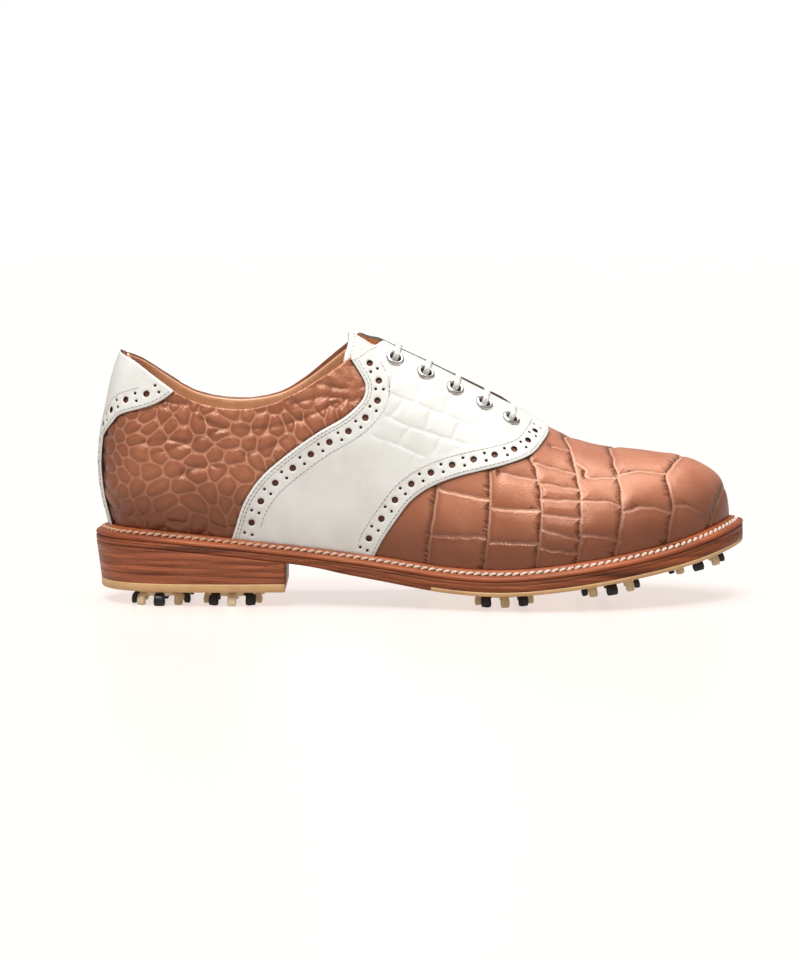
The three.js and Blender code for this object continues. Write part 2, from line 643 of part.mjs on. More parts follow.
// The lace's route: straight bars over the gap, and links under the facings between them.
function laceRoute() {
  const rows = EYELETS.length;
  const crown = footSurface(OVERLAY[0] - LACE_R - 0.7);
  const overRing = EYELET_RISE + LACE_R + 0.9;
  const rise = ({ at, out }) =>
    [OVERLAY[0] - LACE_UNDER, OVERLAY[0], overRing / 3, overRing].map((height) =>
      at.clone().addScaledVector(out, height),
    );
  const route = [];
  for (let k = 0; k < rows; k++) {
    const pair = [eyeletFrames[k], eyeletFrames[rows + k]];
    if (k % 2) pair.reverse();
    const [from, to] = pair;
    route.push(...rise(from));
    for (const share of [-0.6, -0.2, 0.2, 0.6]) {
      const v = share < 0 ? from.v * -share : to.v * share;
      route.push(crown.at(from.x + BAR_LEAN * (1 - share * share), v));
    }
    route.push(...rise(to).reverse());
  }
  return route;
}

function tubeAlong(points, radius, steps, sides) {
  const section = new THREE.Shape();
  section.absarc(0, 0, radius, 0, 2 * Math.PI, false);
  return new THREE.ExtrudeGeometry(section, {
    steps,
    curveSegments: sides,
    bevelEnabled: false,
    extrudePath: new THREE.CatmullRomCurve3(points, false, "centripetal"),
  });
}

// ---------- materials and assembly ----------

const finish = (color, roughness, metalness = 0) =>
  new THREE.MeshStandardMaterial({ color, roughness, metalness });

const FINISHES = {
  tan_leather: finish(0xa8643f, 0.5),
  white_leather: finish(0xf2f1ec, 0.45),
  lining_leather: finish(0xc98f5c, 0.6),
  sole_leather: finish(0x9a4e2c, 0.55),
  board: finish(0xb79c78, 0.8),
  cork: finish(0x8a6a48, 0.95),
  rubber: finish(0xc9a36c, 0.5),
  black_plastic: finish(0x1b1b1b, 0.4),
  steel: finish(0xb9bbc0, 0.3, 1),
  lace: finish(0xf4f3ee, 0.8),
  thread: finish(0xe8d9c0, 0.8),
};

const FINISH_OF = {
  vamp: "tan_leather", quarter_outer: "tan_leather", quarter_inner: "tan_leather",
  saddle: "white_leather", heel_tab: "white_leather", tongue: "white_leather",
  vamp_lining: "lining_leather", quarter_lining: "lining_leather", tongue_lining: "lining_leather",
  sock_liner: "lining_leather", heel_counter: "board", toe_puff: "board", insole: "board",
  insole_rib: "board", cork_filler: "cork", shank: "steel", welt: "sole_leather",
  midsole: "sole_leather", outsole: "sole_leather", forepart_rubber: "rubber", heel_top_lift: "rubber",
};

const shoe = new THREE.Group();

function addPart(name, geometry, finishName, parent = shoe) {
  const mesh = new THREE.Mesh(geometry, FINISHES[finishName]);
  mesh.name = name;
  parent.add(mesh);
  return mesh;
}

for (const [name, solid] of Object.entries({ ...makeUpper(), ...makeBottom() })) {
  addPart(name, geometryOf(solid), FINISH_OF[name] ?? "sole_leather");
}

const cleatGeometry = geometryOf(cleatSolid());
const cupGeometry = receptacleGeometry();
for (const [place, x, y, turn] of CLEATS) {
  const frame = treadFrame(x, y, turn);
  shoe.add(frame);
  addPart(`cleat_${place}`, cleatGeometry, "black_plastic", frame);
  addPart(`receptacle_${place}`, cupGeometry, "black_plastic", frame);
}

const ringGeometry = eyeletGeometry();
for (const { name, at, turn } of eyeletFrames) {
  const eyelet = addPart(name, ringGeometry, "steel");
  eyelet.position.copy(at);
  eyelet.quaternion.copy(turn);
}

addPart("lace", tubeAlong(laceRoute(), LACE_R, 96, 3), "lace");

// The welt's lockstitch lies in a groove all round; here it is one plain cord.
const stitchLine = moveSideways(soleEdge, STITCH_INSET, true)
  .filter((p, i) => i % 4 === 0)
  .slice(0, -1)
  .map(([x, y]) => new THREE.Vector3(x, y, seatHeight(x) + STITCH_RISE));
addPart("welt_stitching", tubeAlong(stitchLine, STITCH_R, 84, 2), "thread");

export default shoe;
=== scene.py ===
"""A right saddle golf shoe: embossed leather upper, brogued white saddle and heel tab, stitched welt,
stacked leather heel and two-colour cleats. Sizes are in millimetres; meshes are made in metres."""

import json
import math

import bpy
import numpy as np
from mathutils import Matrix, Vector, geometry, kdtree


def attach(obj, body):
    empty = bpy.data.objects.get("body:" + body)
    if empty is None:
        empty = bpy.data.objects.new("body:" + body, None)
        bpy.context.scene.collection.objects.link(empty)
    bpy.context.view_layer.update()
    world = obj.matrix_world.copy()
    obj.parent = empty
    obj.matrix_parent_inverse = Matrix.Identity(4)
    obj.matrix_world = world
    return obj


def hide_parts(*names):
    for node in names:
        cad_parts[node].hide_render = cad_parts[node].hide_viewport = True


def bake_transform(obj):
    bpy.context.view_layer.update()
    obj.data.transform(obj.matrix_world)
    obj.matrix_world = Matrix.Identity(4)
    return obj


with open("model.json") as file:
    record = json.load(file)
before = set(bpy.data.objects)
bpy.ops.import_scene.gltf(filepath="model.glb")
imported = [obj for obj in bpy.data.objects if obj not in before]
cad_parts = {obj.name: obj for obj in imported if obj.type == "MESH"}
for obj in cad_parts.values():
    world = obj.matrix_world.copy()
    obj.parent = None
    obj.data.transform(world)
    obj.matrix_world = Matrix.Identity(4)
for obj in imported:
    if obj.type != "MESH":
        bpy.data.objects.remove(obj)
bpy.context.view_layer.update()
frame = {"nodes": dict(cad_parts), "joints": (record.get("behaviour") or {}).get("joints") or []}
rng = np.random.default_rng(7)
MM = 0.001

# ---------- driving dimensions, as in the CAD ----------

WELT_REACH = 7
WELT_THICK = 4.8
MIDSOLE_SHARE = 0.24
SOLE_GAP = 0.15
RUBBER_THICK = 1.9
RUBBER_START = 4.4
HEEL_BREAST = -61.8
HEEL_LIFTS = 4
HEEL_TAPER = 2.2
CLEAT_HEIGHT = 6.6
TOP_LIFT = CLEAT_HEIGHT + 3.8

SOLE_EDGE = [
    (-150, 0), (-144.5, -17), (-131, -28), (-108, -33.5), (-78, -33.8), (-45, -33),
    (-15, -37), (15, -45.5), (42, -50.6), (65, -51.2), (90, -46.8), (112, -38),
    (130, -26.5), (143, -11.5), (150, 5.5),
    (146.6, 19), (137, 31), (121, 42), (100, 49.2), (75, 51.5), (48, 48.5),
    (20, 40), (-10, 32.5), (-45, 30), (-78, 32.3), (-108, 33.2), (-131, 28), (-144.5, 17),
]
SEAT_LINE = [
    (-152, 35.9), (-118, 34.2), (-85, 31), (-50, 27), (-20, 23.2),
    (10, 19.4), (35, 18.4), (60, 20.4), (90, 24.8), (120, 30.8), (152, 40.3),
]
BOTTOM_THICK = [
    (-152, 8.1), (-62, 8.1), (-32, 9.9), (0, 11), (32, 11.35), (100, 11.7), (130, 12.5), (152, 13.4),
]
RIDGE = [
    (-160, 146), (-90, 143), (-45, 135.5), (-10, 116.8), (15, 103.7), (41, 89.8), (60, 78.5),
    (80, 71), (105, 68), (122, 65.2), (134, 59.8), (140.2, 53), (142.6, 45), (143, 38.3),
]
BACK_CURVE = [
    (30, 0.5), (36, 0), (50, -3.2), (64, -4.4), (78, -3.2), (92, -0.4), (106, 2.8), (118, 7), (146, 15),
]
RIDGE_PLAN = [(-152, 0), (-40, 1), (30, 4), (90, 6.5), (152, 5.5)]
SECTION_SHAPE = [
    (-152, 0.46, 0.46, 0.42, 0.62), (-60, 0.4, 0.48, 0.42, 0.78), (-10, 0.12, 0.34, 0.36, 0.86),
    (20, 0.06, 0.2, 0.38, 0.72), (60, 0.05, 0.08, 0.46, 0.6), (110, 0.04, 0.05, 0.56, 0.66),
    (152, 0.03, 0.03, 0.6, 0.72),
]
TOPLINE = [
    (-136.5, 114.2), (-128.6, 110.1), (-118.6, 102.9), (-107, 95.4), (-95.3, 91.5),
    (-81.6, 90), (-68, 92.2), (-54.5, 98.4), (-42, 106), (-31.5, 113.2),
]
TOPLINE_BACK = 115.2
SADDLE_BACK = [
    (-86.2, 29.5), (-84.3, 35.2), (-80.1, 47.7), (-72.4, 59.1), (-61.1, 69.1), (-47.5, 78.8),
    (-34, 86.7), (-26.4, 94.2), (-25, 100), (-26.2, 103.6), (-28.5, 107.4), (-31.8, 112.6),
]
SADDLE_TOP = [(-31.8, 112.6), (-28, 114.4), (-23.3, 117.3), (-17.4, 119.5)]
INNER_SADDLE_TOP = [(-31.8, 112.6), (-30.8, 118), (-28.6, 122.6), (-23.5, 121.2), (-17.4, 119.9)]
SADDLE_FRONT = [
    (59.4, 79), (56.5, 75.4), (50, 69.6), (38, 65.4), (17.9, 60.5), (5, 55.6),
    (-4.5, 48.8), (-11.8, 39.1), (-17.2, 30.8), (-21, 23.4),
]
TAB_EDGE = [
    (-110, 99.3), (-116.7, 94.3), (-122.5, 91.5), (-128.8, 89.6), (-134.2, 88.1), (-138.2, 86.2), (-141, 83),
]
BACK_STRIP_HALF = 9.3
FACING_GAP = [(-17.2, 7.3), (10, 6.3), (36, 5.2), (43.5, 4)]
THROAT = 46.5
EYELETS = [(-11.6, 112.3), (2.4, 105.7), (15.8, 98.6), (29.1, 91.8), (41.4, 84.9)]
EYELET_R = 4.4
EYELET_HOLE_R = 2.3
OVERLAY_DEPTH = -1.5
LINING_DEPTH = 3.6
TONGUE_DEPTH = 5.3

TONGUE_OUTLINE = [
    (-30.2, 5), (-30.6, 9), (-31.8, 14), (-34.4, 19.5), (-33, 23),
    (-26, 24), (0, 23), (30, 20.5), (44, 15.5), (50, 9),
]

# ---------- curves ----------


def smooth_line(points, closed=False, per_span=10):
    """Points on a Catmull-Rom curve through the given ones. A closed one doesn't repeat its first point."""
    p = np.array(points, float)
    if closed:
        p0, p1, p2, p3 = np.roll(p, 1, 0), p, np.roll(p, -1, 0), np.roll(p, -2, 0)
    else:
        q = np.vstack([2 * p[0] - p[1], p, 2 * p[-1] - p[-2]])
        p0, p1, p2, p3 = q[:-3], q[1:-2], q[2:-1], q[3:]
    t = (np.arange(per_span) / per_span)[None, :, None]
    p0, p1, p2, p3 = (a[:, None, :] for a in (p0, p1, p2, p3))
    curve = 0.5 * (
        2 * p1 + (p2 - p0) * t + (2 * p0 - 5 * p1 + 4 * p2 - p3) * t**2 + (3 * p1 - p0 - 3 * p2 + p3) * t**3
    )
    curve = curve.reshape(-1, p.shape[1])
    return curve if closed else np.vstack([curve, p[-1:]])


def length_of(vectors):
    return np.maximum(np.linalg.norm(vectors, axis=-1), 1e-12)


def unit(vectors):
    return vectors / length_of(vectors)[..., None]


def distance_along(line):
    """The distance from a line's start to each of its points."""
    return np.concatenate([[0], np.cumsum(length_of(np.diff(line, axis=0)))])


def round_trip(loop):
    """A loop's points, with the first one again at the end."""
    return np.concatenate([loop, loop[:1]])


def full_turn(count):
    """Even angles round a circle."""
    return np.arange(count) * 2 * math.pi / count


def move_left(loop, distance):
    """A closed loop moved to the left of its own direction."""
    along = np.roll(loop, -1, 0) - np.roll(loop, 1, 0)
    return loop + distance * np.stack([-along[:, 1], along[:, 0]], 1) / length_of(along)[:, None]


def resample(line, step, closed=False):
    """Evenly spaced points along a line."""
    line = round_trip(line) if closed else np.asarray(line, float)
    at = distance_along(line)
    count = max(2, int(round(at[-1] / step)))
    where = np.linspace(0, at[-1], count + 1)
    even = np.stack([np.interp(where, at, line[:, k]) for k in range(line.shape[1])], 1)
    return even[:-1] if closed else even


def joined(*lines):
    """Lines and single points joined end to end."""
    return np.vstack([np.atleast_2d(line) for line in lines])


def function_of(points):
    """A smooth height or breadth by the place along the shoe."""
    line = smooth_line(points)
    return lambda x: np.interp(x, line[:, 0], line[:, 1])


def smooth_step(low, high, x):
    """0 up to low, 1 from high on, and a smooth rise between."""
    t = np.clip((x - low) / (high - low), 0, 1)
    return t * t * (3 - 2 * t)


seat_height = function_of(SEAT_LINE)
bottom_thick = function_of(BOTTOM_THICK)
ridge_height = function_of(RIDGE)
ridge_y = function_of(RIDGE_PLAN)
back_curve = function_of(BACK_CURVE)
outer_belly, inner_belly, belly_height, shoulder = (
    function_of([(row[0], row[k]) for row in SECTION_SHAPE]) for k in (1, 2, 3, 4)
)
sole_line = smooth_line(SOLE_EDGE, closed=True, per_span=14)


def tread_height(x):
    """The sole's underside over the ground."""
    return seat_height(x) - bottom_thick(x)


class EdgeSides:
    """The sole's edge drawn in, as its outer and its inner side."""

    def __init__(self, inset):
        line = move_left(sole_line, inset)
        line = np.roll(line, -line[:, 0].argmin(), 0)
        toe = line[:, 0].argmax()
        self.start, self.end = line[0, 0], line[toe, 0]
        self.outer_line = line[: toe + 1]
        self.inner_line = joined(line[toe:], line[0])[::-1]

    def outer(self, x):
        return np.interp(x, self.outer_line[:, 0], self.outer_line[:, 1])

    def inner(self, x):
        return np.interp(x, self.inner_line[:, 0], self.inner_line[:, 1])


# ---------- the foot shape ----------

foot_edge = EdgeSides(WELT_REACH)
TIP_Y = float(foot_edge.outer(foot_edge.end))
SINK = -0.35  # the upper's edge goes this far into the welt


def section_point(x, t, outer):
    """A point of the cross-section at x: t is 0 at the welt and 1 on the ridge."""
    middle = ridge_y(x) + (TIP_Y - ridge_y(x)) * smooth_step(foot_edge.end - 4, foot_edge.end, x)
    reach = np.where(outer, foot_edge.outer(x), foot_edge.inner(x)) - middle
    belly = np.where(outer, outer_belly(x), inner_belly(x))
    low = seat_height(x) + SINK
    high = np.maximum(ridge_height(x), low)
    up = belly_height(x) * (high - low)
    a, b, c, d = (1 - t) ** 3, 3 * (1 - t) ** 2 * t, 3 * (1 - t) * t**2, t**3
    y = middle + reach * (a + b * (1 + belly) + c * shoulder(x))
    z = a * low + b * (low + up) + (c + d) * high
    lean = 1 - smooth_step(-140, -70, x)
    return np.stack([x + back_curve(z) * lean, y, z], -1)


# Even coordinates: u runs along the shoe from the heel's back, s runs round it from the ridge.
NU, NT = 700, 120
EVEN_SHARE = np.linspace(0, 1, NT)


def even_tables():
    """Even steps of u with their x, and for each side the girth and t at even shares of it."""
    share = (1 - np.cos(np.linspace(0, np.pi, 3000))) / 2
    fine_x = foot_edge.start + (foot_edge.end - foot_edge.start) * share
    rails = [section_point(fine_x, t, side) for t, side in ((0.0, True), (0.0, False), (1.0, True))]
    speed = np.max([length_of(np.diff(rail, axis=0)) for rail in rails], 0)
    fine_u = np.concatenate([[0], np.cumsum(speed)])
    even_u = np.linspace(0, fine_u[-1], NU)
    even_x = np.interp(even_u, fine_u, fine_x)
    down = np.linspace(1, 0, NT)
    girths, t_tables = {}, {}
    for outer in (True, False):
        rows = section_point(even_x[:, None], down[None, :], np.array(outer))
        run = np.cumsum(length_of(np.diff(rows, axis=1)), 1)
        run = np.concatenate([np.zeros((NU, 1)), run], 1)
        share = run / np.maximum(run[:, -1:], 1e-9)
        girths[outer] = run[:, -1]
        t_tables[outer] = np.stack([np.interp(EVEN_SHARE, row, down) for row in share])
    return even_u, even_x, girths, t_tables


EVEN_U, EVEN_X, GIRTHS, T_TABLES = even_tables()
U_END = EVEN_U[-1]


def x_of(u):
    """The place along the shoe, in mm, at u."""
    return np.interp(u, EVEN_U, EVEN_X)


def u_of(x):
    """The even coordinate of a place along the shoe."""
    return np.interp(x, EVEN_X, EVEN_U)


def girth(u, outer):
    """The way round one side of the foot, from the ridge to the welt."""
    return np.where(outer, np.interp(u, EVEN_U, GIRTHS[True]), np.interp(u, EVEN_U, GIRTHS[False]))


def clipped(us, margin=0.0):
    """Rows of (u, s) kept on the foot, at least a margin above the welt."""
    limit = girth(us[:, 0], us[:, 1] < 0) - margin
    return np.stack([us[:, 0], np.clip(us[:, 1], -limit, limit)], 1)


def lookup(table, u, w):
    """A table's value between its places, at u along the foot and a share w of the way down."""
    fu = np.clip(u / U_END, 0, 1) * (NU - 1)
    fw = np.clip(w, 0, 1) * (NT - 1)
    i, j = np.minimum(fu.astype(int), NU - 2), np.minimum(fw.astype(int), NT - 2)
    du, dw = fu - i, fw - j
    low = table[i, j] * (1 - dw) + table[i, j + 1] * dw
    high = table[i + 1, j] * (1 - dw) + table[i + 1, j + 1] * dw
    return low * (1 - du) + high * du


def foot(us):
    """The vamp's outer face at rows of (u, s); s below zero is the outer side."""
    u, s = us[:, 0], us[:, 1]
    outer = s < 0
    w = np.abs(s) / np.maximum(girth(u, outer), 1e-6)
    t = np.where(outer, lookup(T_TABLES[True], u, w), lookup(T_TABLES[False], u, w))
    return section_point(x_of(u), t, outer)


class RidgeChart:
    """Flat coordinates (u, s) unrolled from the ridge: for the vamp, saddle and tongue."""

    flip = 1

    @staticmethod
    def us(pq):
        return pq

    @staticmethod
    def pq(us):
        return us


class HeelChart:
    """Flat coordinates unrolled round the heel: q from the back seam, b up from the welt."""

    flip = -1

    @staticmethod
    def us(pq):
        u = np.abs(pq[:, 0])
        outer = pq[:, 0] < 0
        s = girth(u, outer) - pq[:, 1]
        return np.stack([u, np.where(outer, -s, s)], 1)

    @staticmethod
    def pq(us):
        outer = us[:, 1] < 0
        b = girth(us[:, 0], outer) - np.abs(us[:, 1])
        return np.stack([np.where(outer, -us[:, 0], us[:, 0]), b], 1)


def surface(chart, pq):
    """The vamp's outer face at chart points."""
    return foot(chart.us(pq))


def tangents(chart, pq, step=0.35):
    """How the surface moves for a unit step in each chart direction."""
    dp, dq = np.array([step, 0]), np.array([0, step])
    return (
        (surface(chart, pq + dp) - surface(chart, pq - dp)) / (2 * step),
        (surface(chart, pq + dq) - surface(chart, pq - dq)) / (2 * step),
    )


def normals(chart, pq):
    """Outward unit normals. Where the shape closes to a tip they point along +X."""
    a, b = tangents(chart, pq)
    n = np.cross(a, b) * chart.flip
    size = np.linalg.norm(n, axis=1)
    n[size < 1e-4] = (1, 0, 0)
    return unit(n)


def step_left(chart, pq, way, distance):
    """Chart points moved a true distance to the left of a chart direction."""
    near = chart.pq(clipped(chart.us(pq), 0.5))
    a, b = tangents(chart, near)
    left = np.cross(normals(chart, near), a * way[:, :1] + b * way[:, 1:])
    left *= chart.flip * distance / length_of(left)[:, None]
    aa, ab, bb = (np.sum(m * n, 1) for m, n in ((a, a), (a, b), (b, b)))
    a_left, b_left = np.sum(a * left, 1), np.sum(b * left, 1)
    share = np.stack([a_left * bb - b_left * ab, b_left * aa - a_left * ab], 1)
    return pq + share / (aa * bb - ab * ab)[:, None]


def beside(chart, line, distance):
    """A chart line moved a true distance to its left."""
    line = resample(line, 0.8)
    steps = 4
    for _ in range(steps):
        line = step_left(chart, line, np.gradient(line, axis=0), distance / steps)
    return line


def trace_side(line, outer, chart=RidgeChart, depth=0.0):
    """A pattern line seen from the side, as (x, z), laid on one side of the foot at a depth."""
    line = np.asarray(line, float)
    target = line.copy()
    for _ in range(4 if depth else 1):
        spots = trace_on_face(target, outer)
        seen = foot(spots) - normals(RidgeChart, spots) * depth
        target = target + line - seen[:, [0, 2]]
    return chart.pq(spots)


def trace_on_face(line, outer):
    """The (u, s) of places on the vamp's face that are seen from the side at (x, z)."""
    x, z = line[:, 0], line[:, 1]
    base = x.copy()
    for _ in range(6):
        base = x - back_curve(z) * (1 - smooth_step(-140, -70, base))
    base = np.clip(base, foot_edge.start, foot_edge.end)
    low, high = np.zeros(len(x)), np.ones(len(x))
    for _ in range(40):
        t = (low + high) / 2
        below = section_point(base, t, np.array(outer))[:, 2] < z
        low, high = np.where(below, t, low), np.where(below, high, t)
    return us_from(base, (low + high) / 2, outer)


def trace_plan(rows, outer):
    """A line seen from above, as (x, distance from the ridge), on one side of the ridge."""
    rows = np.asarray(rows, float)
    low, high = np.full(len(rows), 0.45), np.ones(len(rows))
    for _ in range(40):
        t = (low + high) / 2
        away = np.abs(section_point(rows[:, 0], t, np.array(outer))[:, 1] - ridge_y(rows[:, 0]))
        low, high = np.where(away > rows[:, 1], t, low), np.where(away > rows[:, 1], high, t)
    return us_from(rows[:, 0], (low + high) / 2, outer)


def us_from(x, t, outer):
    u = u_of(x)
    table = T_TABLES[outer]
    index = np.clip(np.round(u / U_END * (NU - 1)).astype(int), 0, NU - 1)
    w = np.array([np.interp(-t[k], -table[i], EVEN_SHARE) for k, i in enumerate(index)])
    s = w * girth(u, np.array(outer))
    return np.stack([u, -s if outer else s], 1)


# ---------- meshes ----------


def new_object(name, points, faces, materials, indices=None, attributes=None, smooth=True):
    """A mesh object from points in millimetres."""
    mesh = bpy.data.meshes.new(name)
    mesh.from_pydata((np.asarray(points) * MM).tolist(), [], [tuple(int(k) for k in f) for f in faces])
    for material in materials:
        mesh.materials.append(material)
    if indices is not None:
        mesh.polygons.foreach_set("material_index", np.asarray(indices, np.int32))
    for key, values in (attributes or {}).items():
        layer = mesh.attributes.new(key, "FLOAT", "POINT")
        layer.data.foreach_set("value", np.asarray(values, np.float32))
    mesh.polygons.foreach_set("use_smooth", np.full(len(mesh.polygons), smooth))
    mesh.update()
    piece = bpy.data.objects.new(name, mesh)
    bpy.context.scene.collection.objects.link(piece)
    return piece


def inside(points, loop):
    """Which points lie inside a closed loop."""
    result = np.zeros(len(points), bool)
    x, y = points[:, 0], points[:, 1]
    for (x0, y0), (x1, y1) in zip(loop, np.roll(loop, -1, 0)):
        if y0 == y1:
            continue
        crosses = (y0 > y) != (y1 > y)
        result ^= crosses & (x < (x1 - x0) * (y - y0) / (y1 - y0) + x0)
    return result


def nearest(points, targets):
    """For each 2-D point, the index of the nearest target and the distance to it."""
    tree = kdtree.KDTree(len(targets))
    for k, (x, y) in enumerate(targets):
        tree.insert((x, y, 0), k)
    tree.balance()
    found = [tree.find((x, y, 0)) for x, y in points]
    return np.array([f[1] for f in found]), np.array([f[2] for f in found])


def anticlockwise(loop):
    """The loop, turned about if it runs clockwise."""
    x, y = loop[:, 0], loop[:, 1]
    area = np.sum(x * np.roll(y, -1) - np.roll(x, -1) * y)
    return loop if area > 0 else loop[::-1]


def circle_on(chart, centre, radius, count=14):
    """A true circle on the surface round a chart point, in chart coordinates."""
    a, b = (v[0] for v in tangents(chart, np.array([centre])))
    along = a / np.linalg.norm(a)
    normal = np.cross(a, b)
    across = np.cross(normal / np.linalg.norm(normal), along)
    matrix = np.array([[a @ along, b @ along], [a @ across, b @ across]])
    angle = full_turn(count)
    offsets = radius * np.stack([np.cos(angle), np.sin(angle)], 1)
    return np.asarray(centre) + offsets @ np.linalg.inv(matrix).T


def hex_grid(low, high, step):
    """Points of an even triangular grid over a rectangle."""
    rows = []
    for k, y in enumerate(np.arange(low[1], high[1], step * 0.87)):
        x = np.arange(low[0] + (k % 2) * step / 2, high[0], step)
        rows.append(np.stack([x, np.full(len(x), y)], 1))
    return np.vstack(rows)


def triangulate(loops, extra):
    """Triangles between the first loop and the others, which are holes or guide lines (loop, is hole)."""
    points = np.vstack([loop for loop, _ in loops])
    edges, start = [], 0
    for loop, _ in loops:
        edges += [(start + k, start + (k + 1) % len(loop)) for k in range(len(loop))]
        start += len(loop)
    everything = [Vector(p) for p in np.vstack([points, extra])]
    made = geometry.delaunay_2d_cdt(everything, edges, [], 0, 1e-4)
    flat = np.array([tuple(v) for v in made[0]])
    origin = np.array([o[0] if o else -1 for o in made[3]])
    faces = np.array(made[2])
    centres = flat[faces].mean(1)
    keep = inside(centres, loops[0][0])
    for loop, is_hole in loops[1:]:
        if is_hole:
            near = np.all(np.abs(centres - loop.mean(0)) < np.ptp(loop, axis=0), axis=1)
            keep[near] &= ~inside(centres[near], loop)
    faces = faces[keep]
    a, b, c = flat[faces[:, 0]], flat[faces[:, 1]], flat[faces[:, 2]]
    turn = (b - a)[:, 0] * (c - a)[:, 1] - (b - a)[:, 1] * (c - a)[:, 0]
    return flat, np.where((turn > 0)[:, None], faces, faces[:, ::-1]), origin


def rim_edges(faces):
    """Directed edges that belong to one triangle only."""
    directed = np.vstack([faces[:, [0, 1]], faces[:, [1, 2]], faces[:, [2, 0]]]).tolist()
    present = {(a, b) for a, b in directed}
    return [(a, b) for a, b in directed if (b, a) not in present]


def sheet(
    name, chart, outline, materials, holes=(), step=0.7, depth=0.0, wall=1.2, relief=None, creases=None,
    inward=False,
):
    """A closed sheet of leather on the foot: a fine face, a rounded rim, cut edges and a plain back.

    relief gives the face's height and its shader attributes; creases are points that get a vertex.
    """
    outline = anticlockwise(resample(outline, step, closed=True))
    loops = [(outline, False, 0.34), (move_left(outline, 0.4), False, 0.05)]
    for centre, radius in holes:
        count = 20 if radius > 1 else 10
        loops.append((circle_on(chart, centre, radius, count), True, 0.2))
        loops.append((circle_on(chart, centre, radius + 0.26, count), False, 0.03))
    points = np.vstack([loop for loop, _, _ in loops])
    drops = np.concatenate([np.full(len(loop), drop) for loop, _, drop in loops])
    shape = [(loop, is_hole) for loop, is_hole, _ in loops]
    fixed = points
    if creases is not None:
        creases = creases[inside(creases, loops[1][0])]
        creases = creases[nearest(creases, points)[1] > 0.3 * step]
        fixed = np.vstack([points, creases])
    grid = hex_grid(outline.min(0), outline.max(0), step)
    grid = grid[inside(grid, outline)]
    grid = grid[nearest(grid, fixed)[1] > 0.58 * step]
    extra = grid if creases is None else np.vstack([creases, grid])
    flat, faces, origin = triangulate(shape, extra)
    drop = np.where((origin >= 0) & (origin < len(drops)), drops[np.clip(origin, 0, len(drops) - 1)], 0.0)
    base, normal = surface(chart, flat), normals(chart, flat)
    height, shades = relief(flat, base) if relief else (np.zeros(len(flat)), {})
    side = -1 if inward else 1
    top = base + normal * (-depth + side * (height - drop))[:, None]

    rim_loops = shape[:1] + [pair for pair in shape if pair[1]]
    rim_points = np.vstack([loop for loop, _ in rim_loops])
    coarse = hex_grid(outline.min(0), outline.max(0), 4.5)
    coarse = coarse[inside(coarse, outline)]
    coarse = coarse[nearest(coarse, rim_points)[1] > 2]
    back_flat, back_faces, _ = triangulate(rim_loops, coarse)
    back = surface(chart, back_flat) - normals(chart, back_flat) * (depth + side * wall)

    offset = len(flat)
    back_at = {tuple(np.round(p, 3)): k + offset for k, p in enumerate(back_flat)}
    walls = []
    for a, b in rim_edges(faces):
        a_back, b_back = (back_at.get(tuple(np.round(flat[k], 3))) for k in (a, b))
        if a_back is not None and b_back is not None:
            walls.append((b, a, a_back, b_back))
    turned = (chart.flip < 0) != inward
    face_list = [tuple(f[::-1]) if turned else tuple(f) for f in faces.tolist()]
    face_list += [w[::-1] if turned else w for w in walls]
    face_list += [tuple(k + offset for k in (f if turned else f[::-1])) for f in back_faces.tolist()]
    index = [0] * len(faces) + [1] * len(walls) + [len(materials) - 1] * len(back_faces)
    shades = {key: np.concatenate([value, np.zeros(len(back))]) for key, value in shades.items()}
    return new_object(name, np.vstack([top, back]), face_list, materials, index, shades)


def mesh_of_rings(ring_sets, caps=True):
    """Sets of rings of equal point count, each set joined in order."""
    points, faces, start = [], [], 0
    for rings in ring_sets:
        n, m = rings.shape[:2]
        points.append(rings.reshape(-1, 3))
        for i in range(n - 1):
            low, high = start + i * m, start + (i + 1) * m
            faces += [(low + j, low + (j + 1) % m, high + (j + 1) % m, high + j) for j in range(m)]
        if caps:
            faces.append(tuple(range(start, start + m))[::-1])
            faces.append(tuple(range(start + (n - 1) * m, start + n * m)))
        start += n * m
    return np.vstack(points), faces


def loft(name, rings, materials, caps=False, indices=None):
    """One piece of rings joined in order."""
    points, faces = mesh_of_rings([np.asarray(rings)], caps)
    return new_object(name, points, faces, materials, indices)


# A stitch's shape: (share of its length from the middle, share of its radius).
CAPSULE_PROFILE = [(-0.5, 0.15), (-0.32, 0.85), (0, 1), (0.32, 0.85), (0.5, 0.15)]
CAPSULE_FLATNESS = 0.75
CAPSULE_SIDES = 6


def capsules(name, chart, spots, length, radius, depth, material):
    """Short rounded bars lying on the surface, one at each (p, q, direction p, direction q)."""
    pq, way = spots[:, :2], spots[:, 2:]
    a, b = tangents(chart, pq)
    along = unit(a * way[:, :1] + b * way[:, 1:])
    normal = normals(chart, pq)
    across = np.cross(normal, along)
    centre = surface(chart, pq) - normal * depth
    angle = full_turn(CAPSULE_SIDES)
    rings = [
        centre[:, None] + along[:, None] * x * length
        + across[:, None] * (r * radius * np.cos(angle))[None, :, None]
        + normal[:, None] * (r * radius * CAPSULE_FLATNESS * np.sin(angle))[None, :, None]
        for x, r in CAPSULE_PROFILE
    ]
    points, faces = mesh_of_rings(np.stack(rings, 1), caps=False)
    return new_object(name, points, faces, [material])


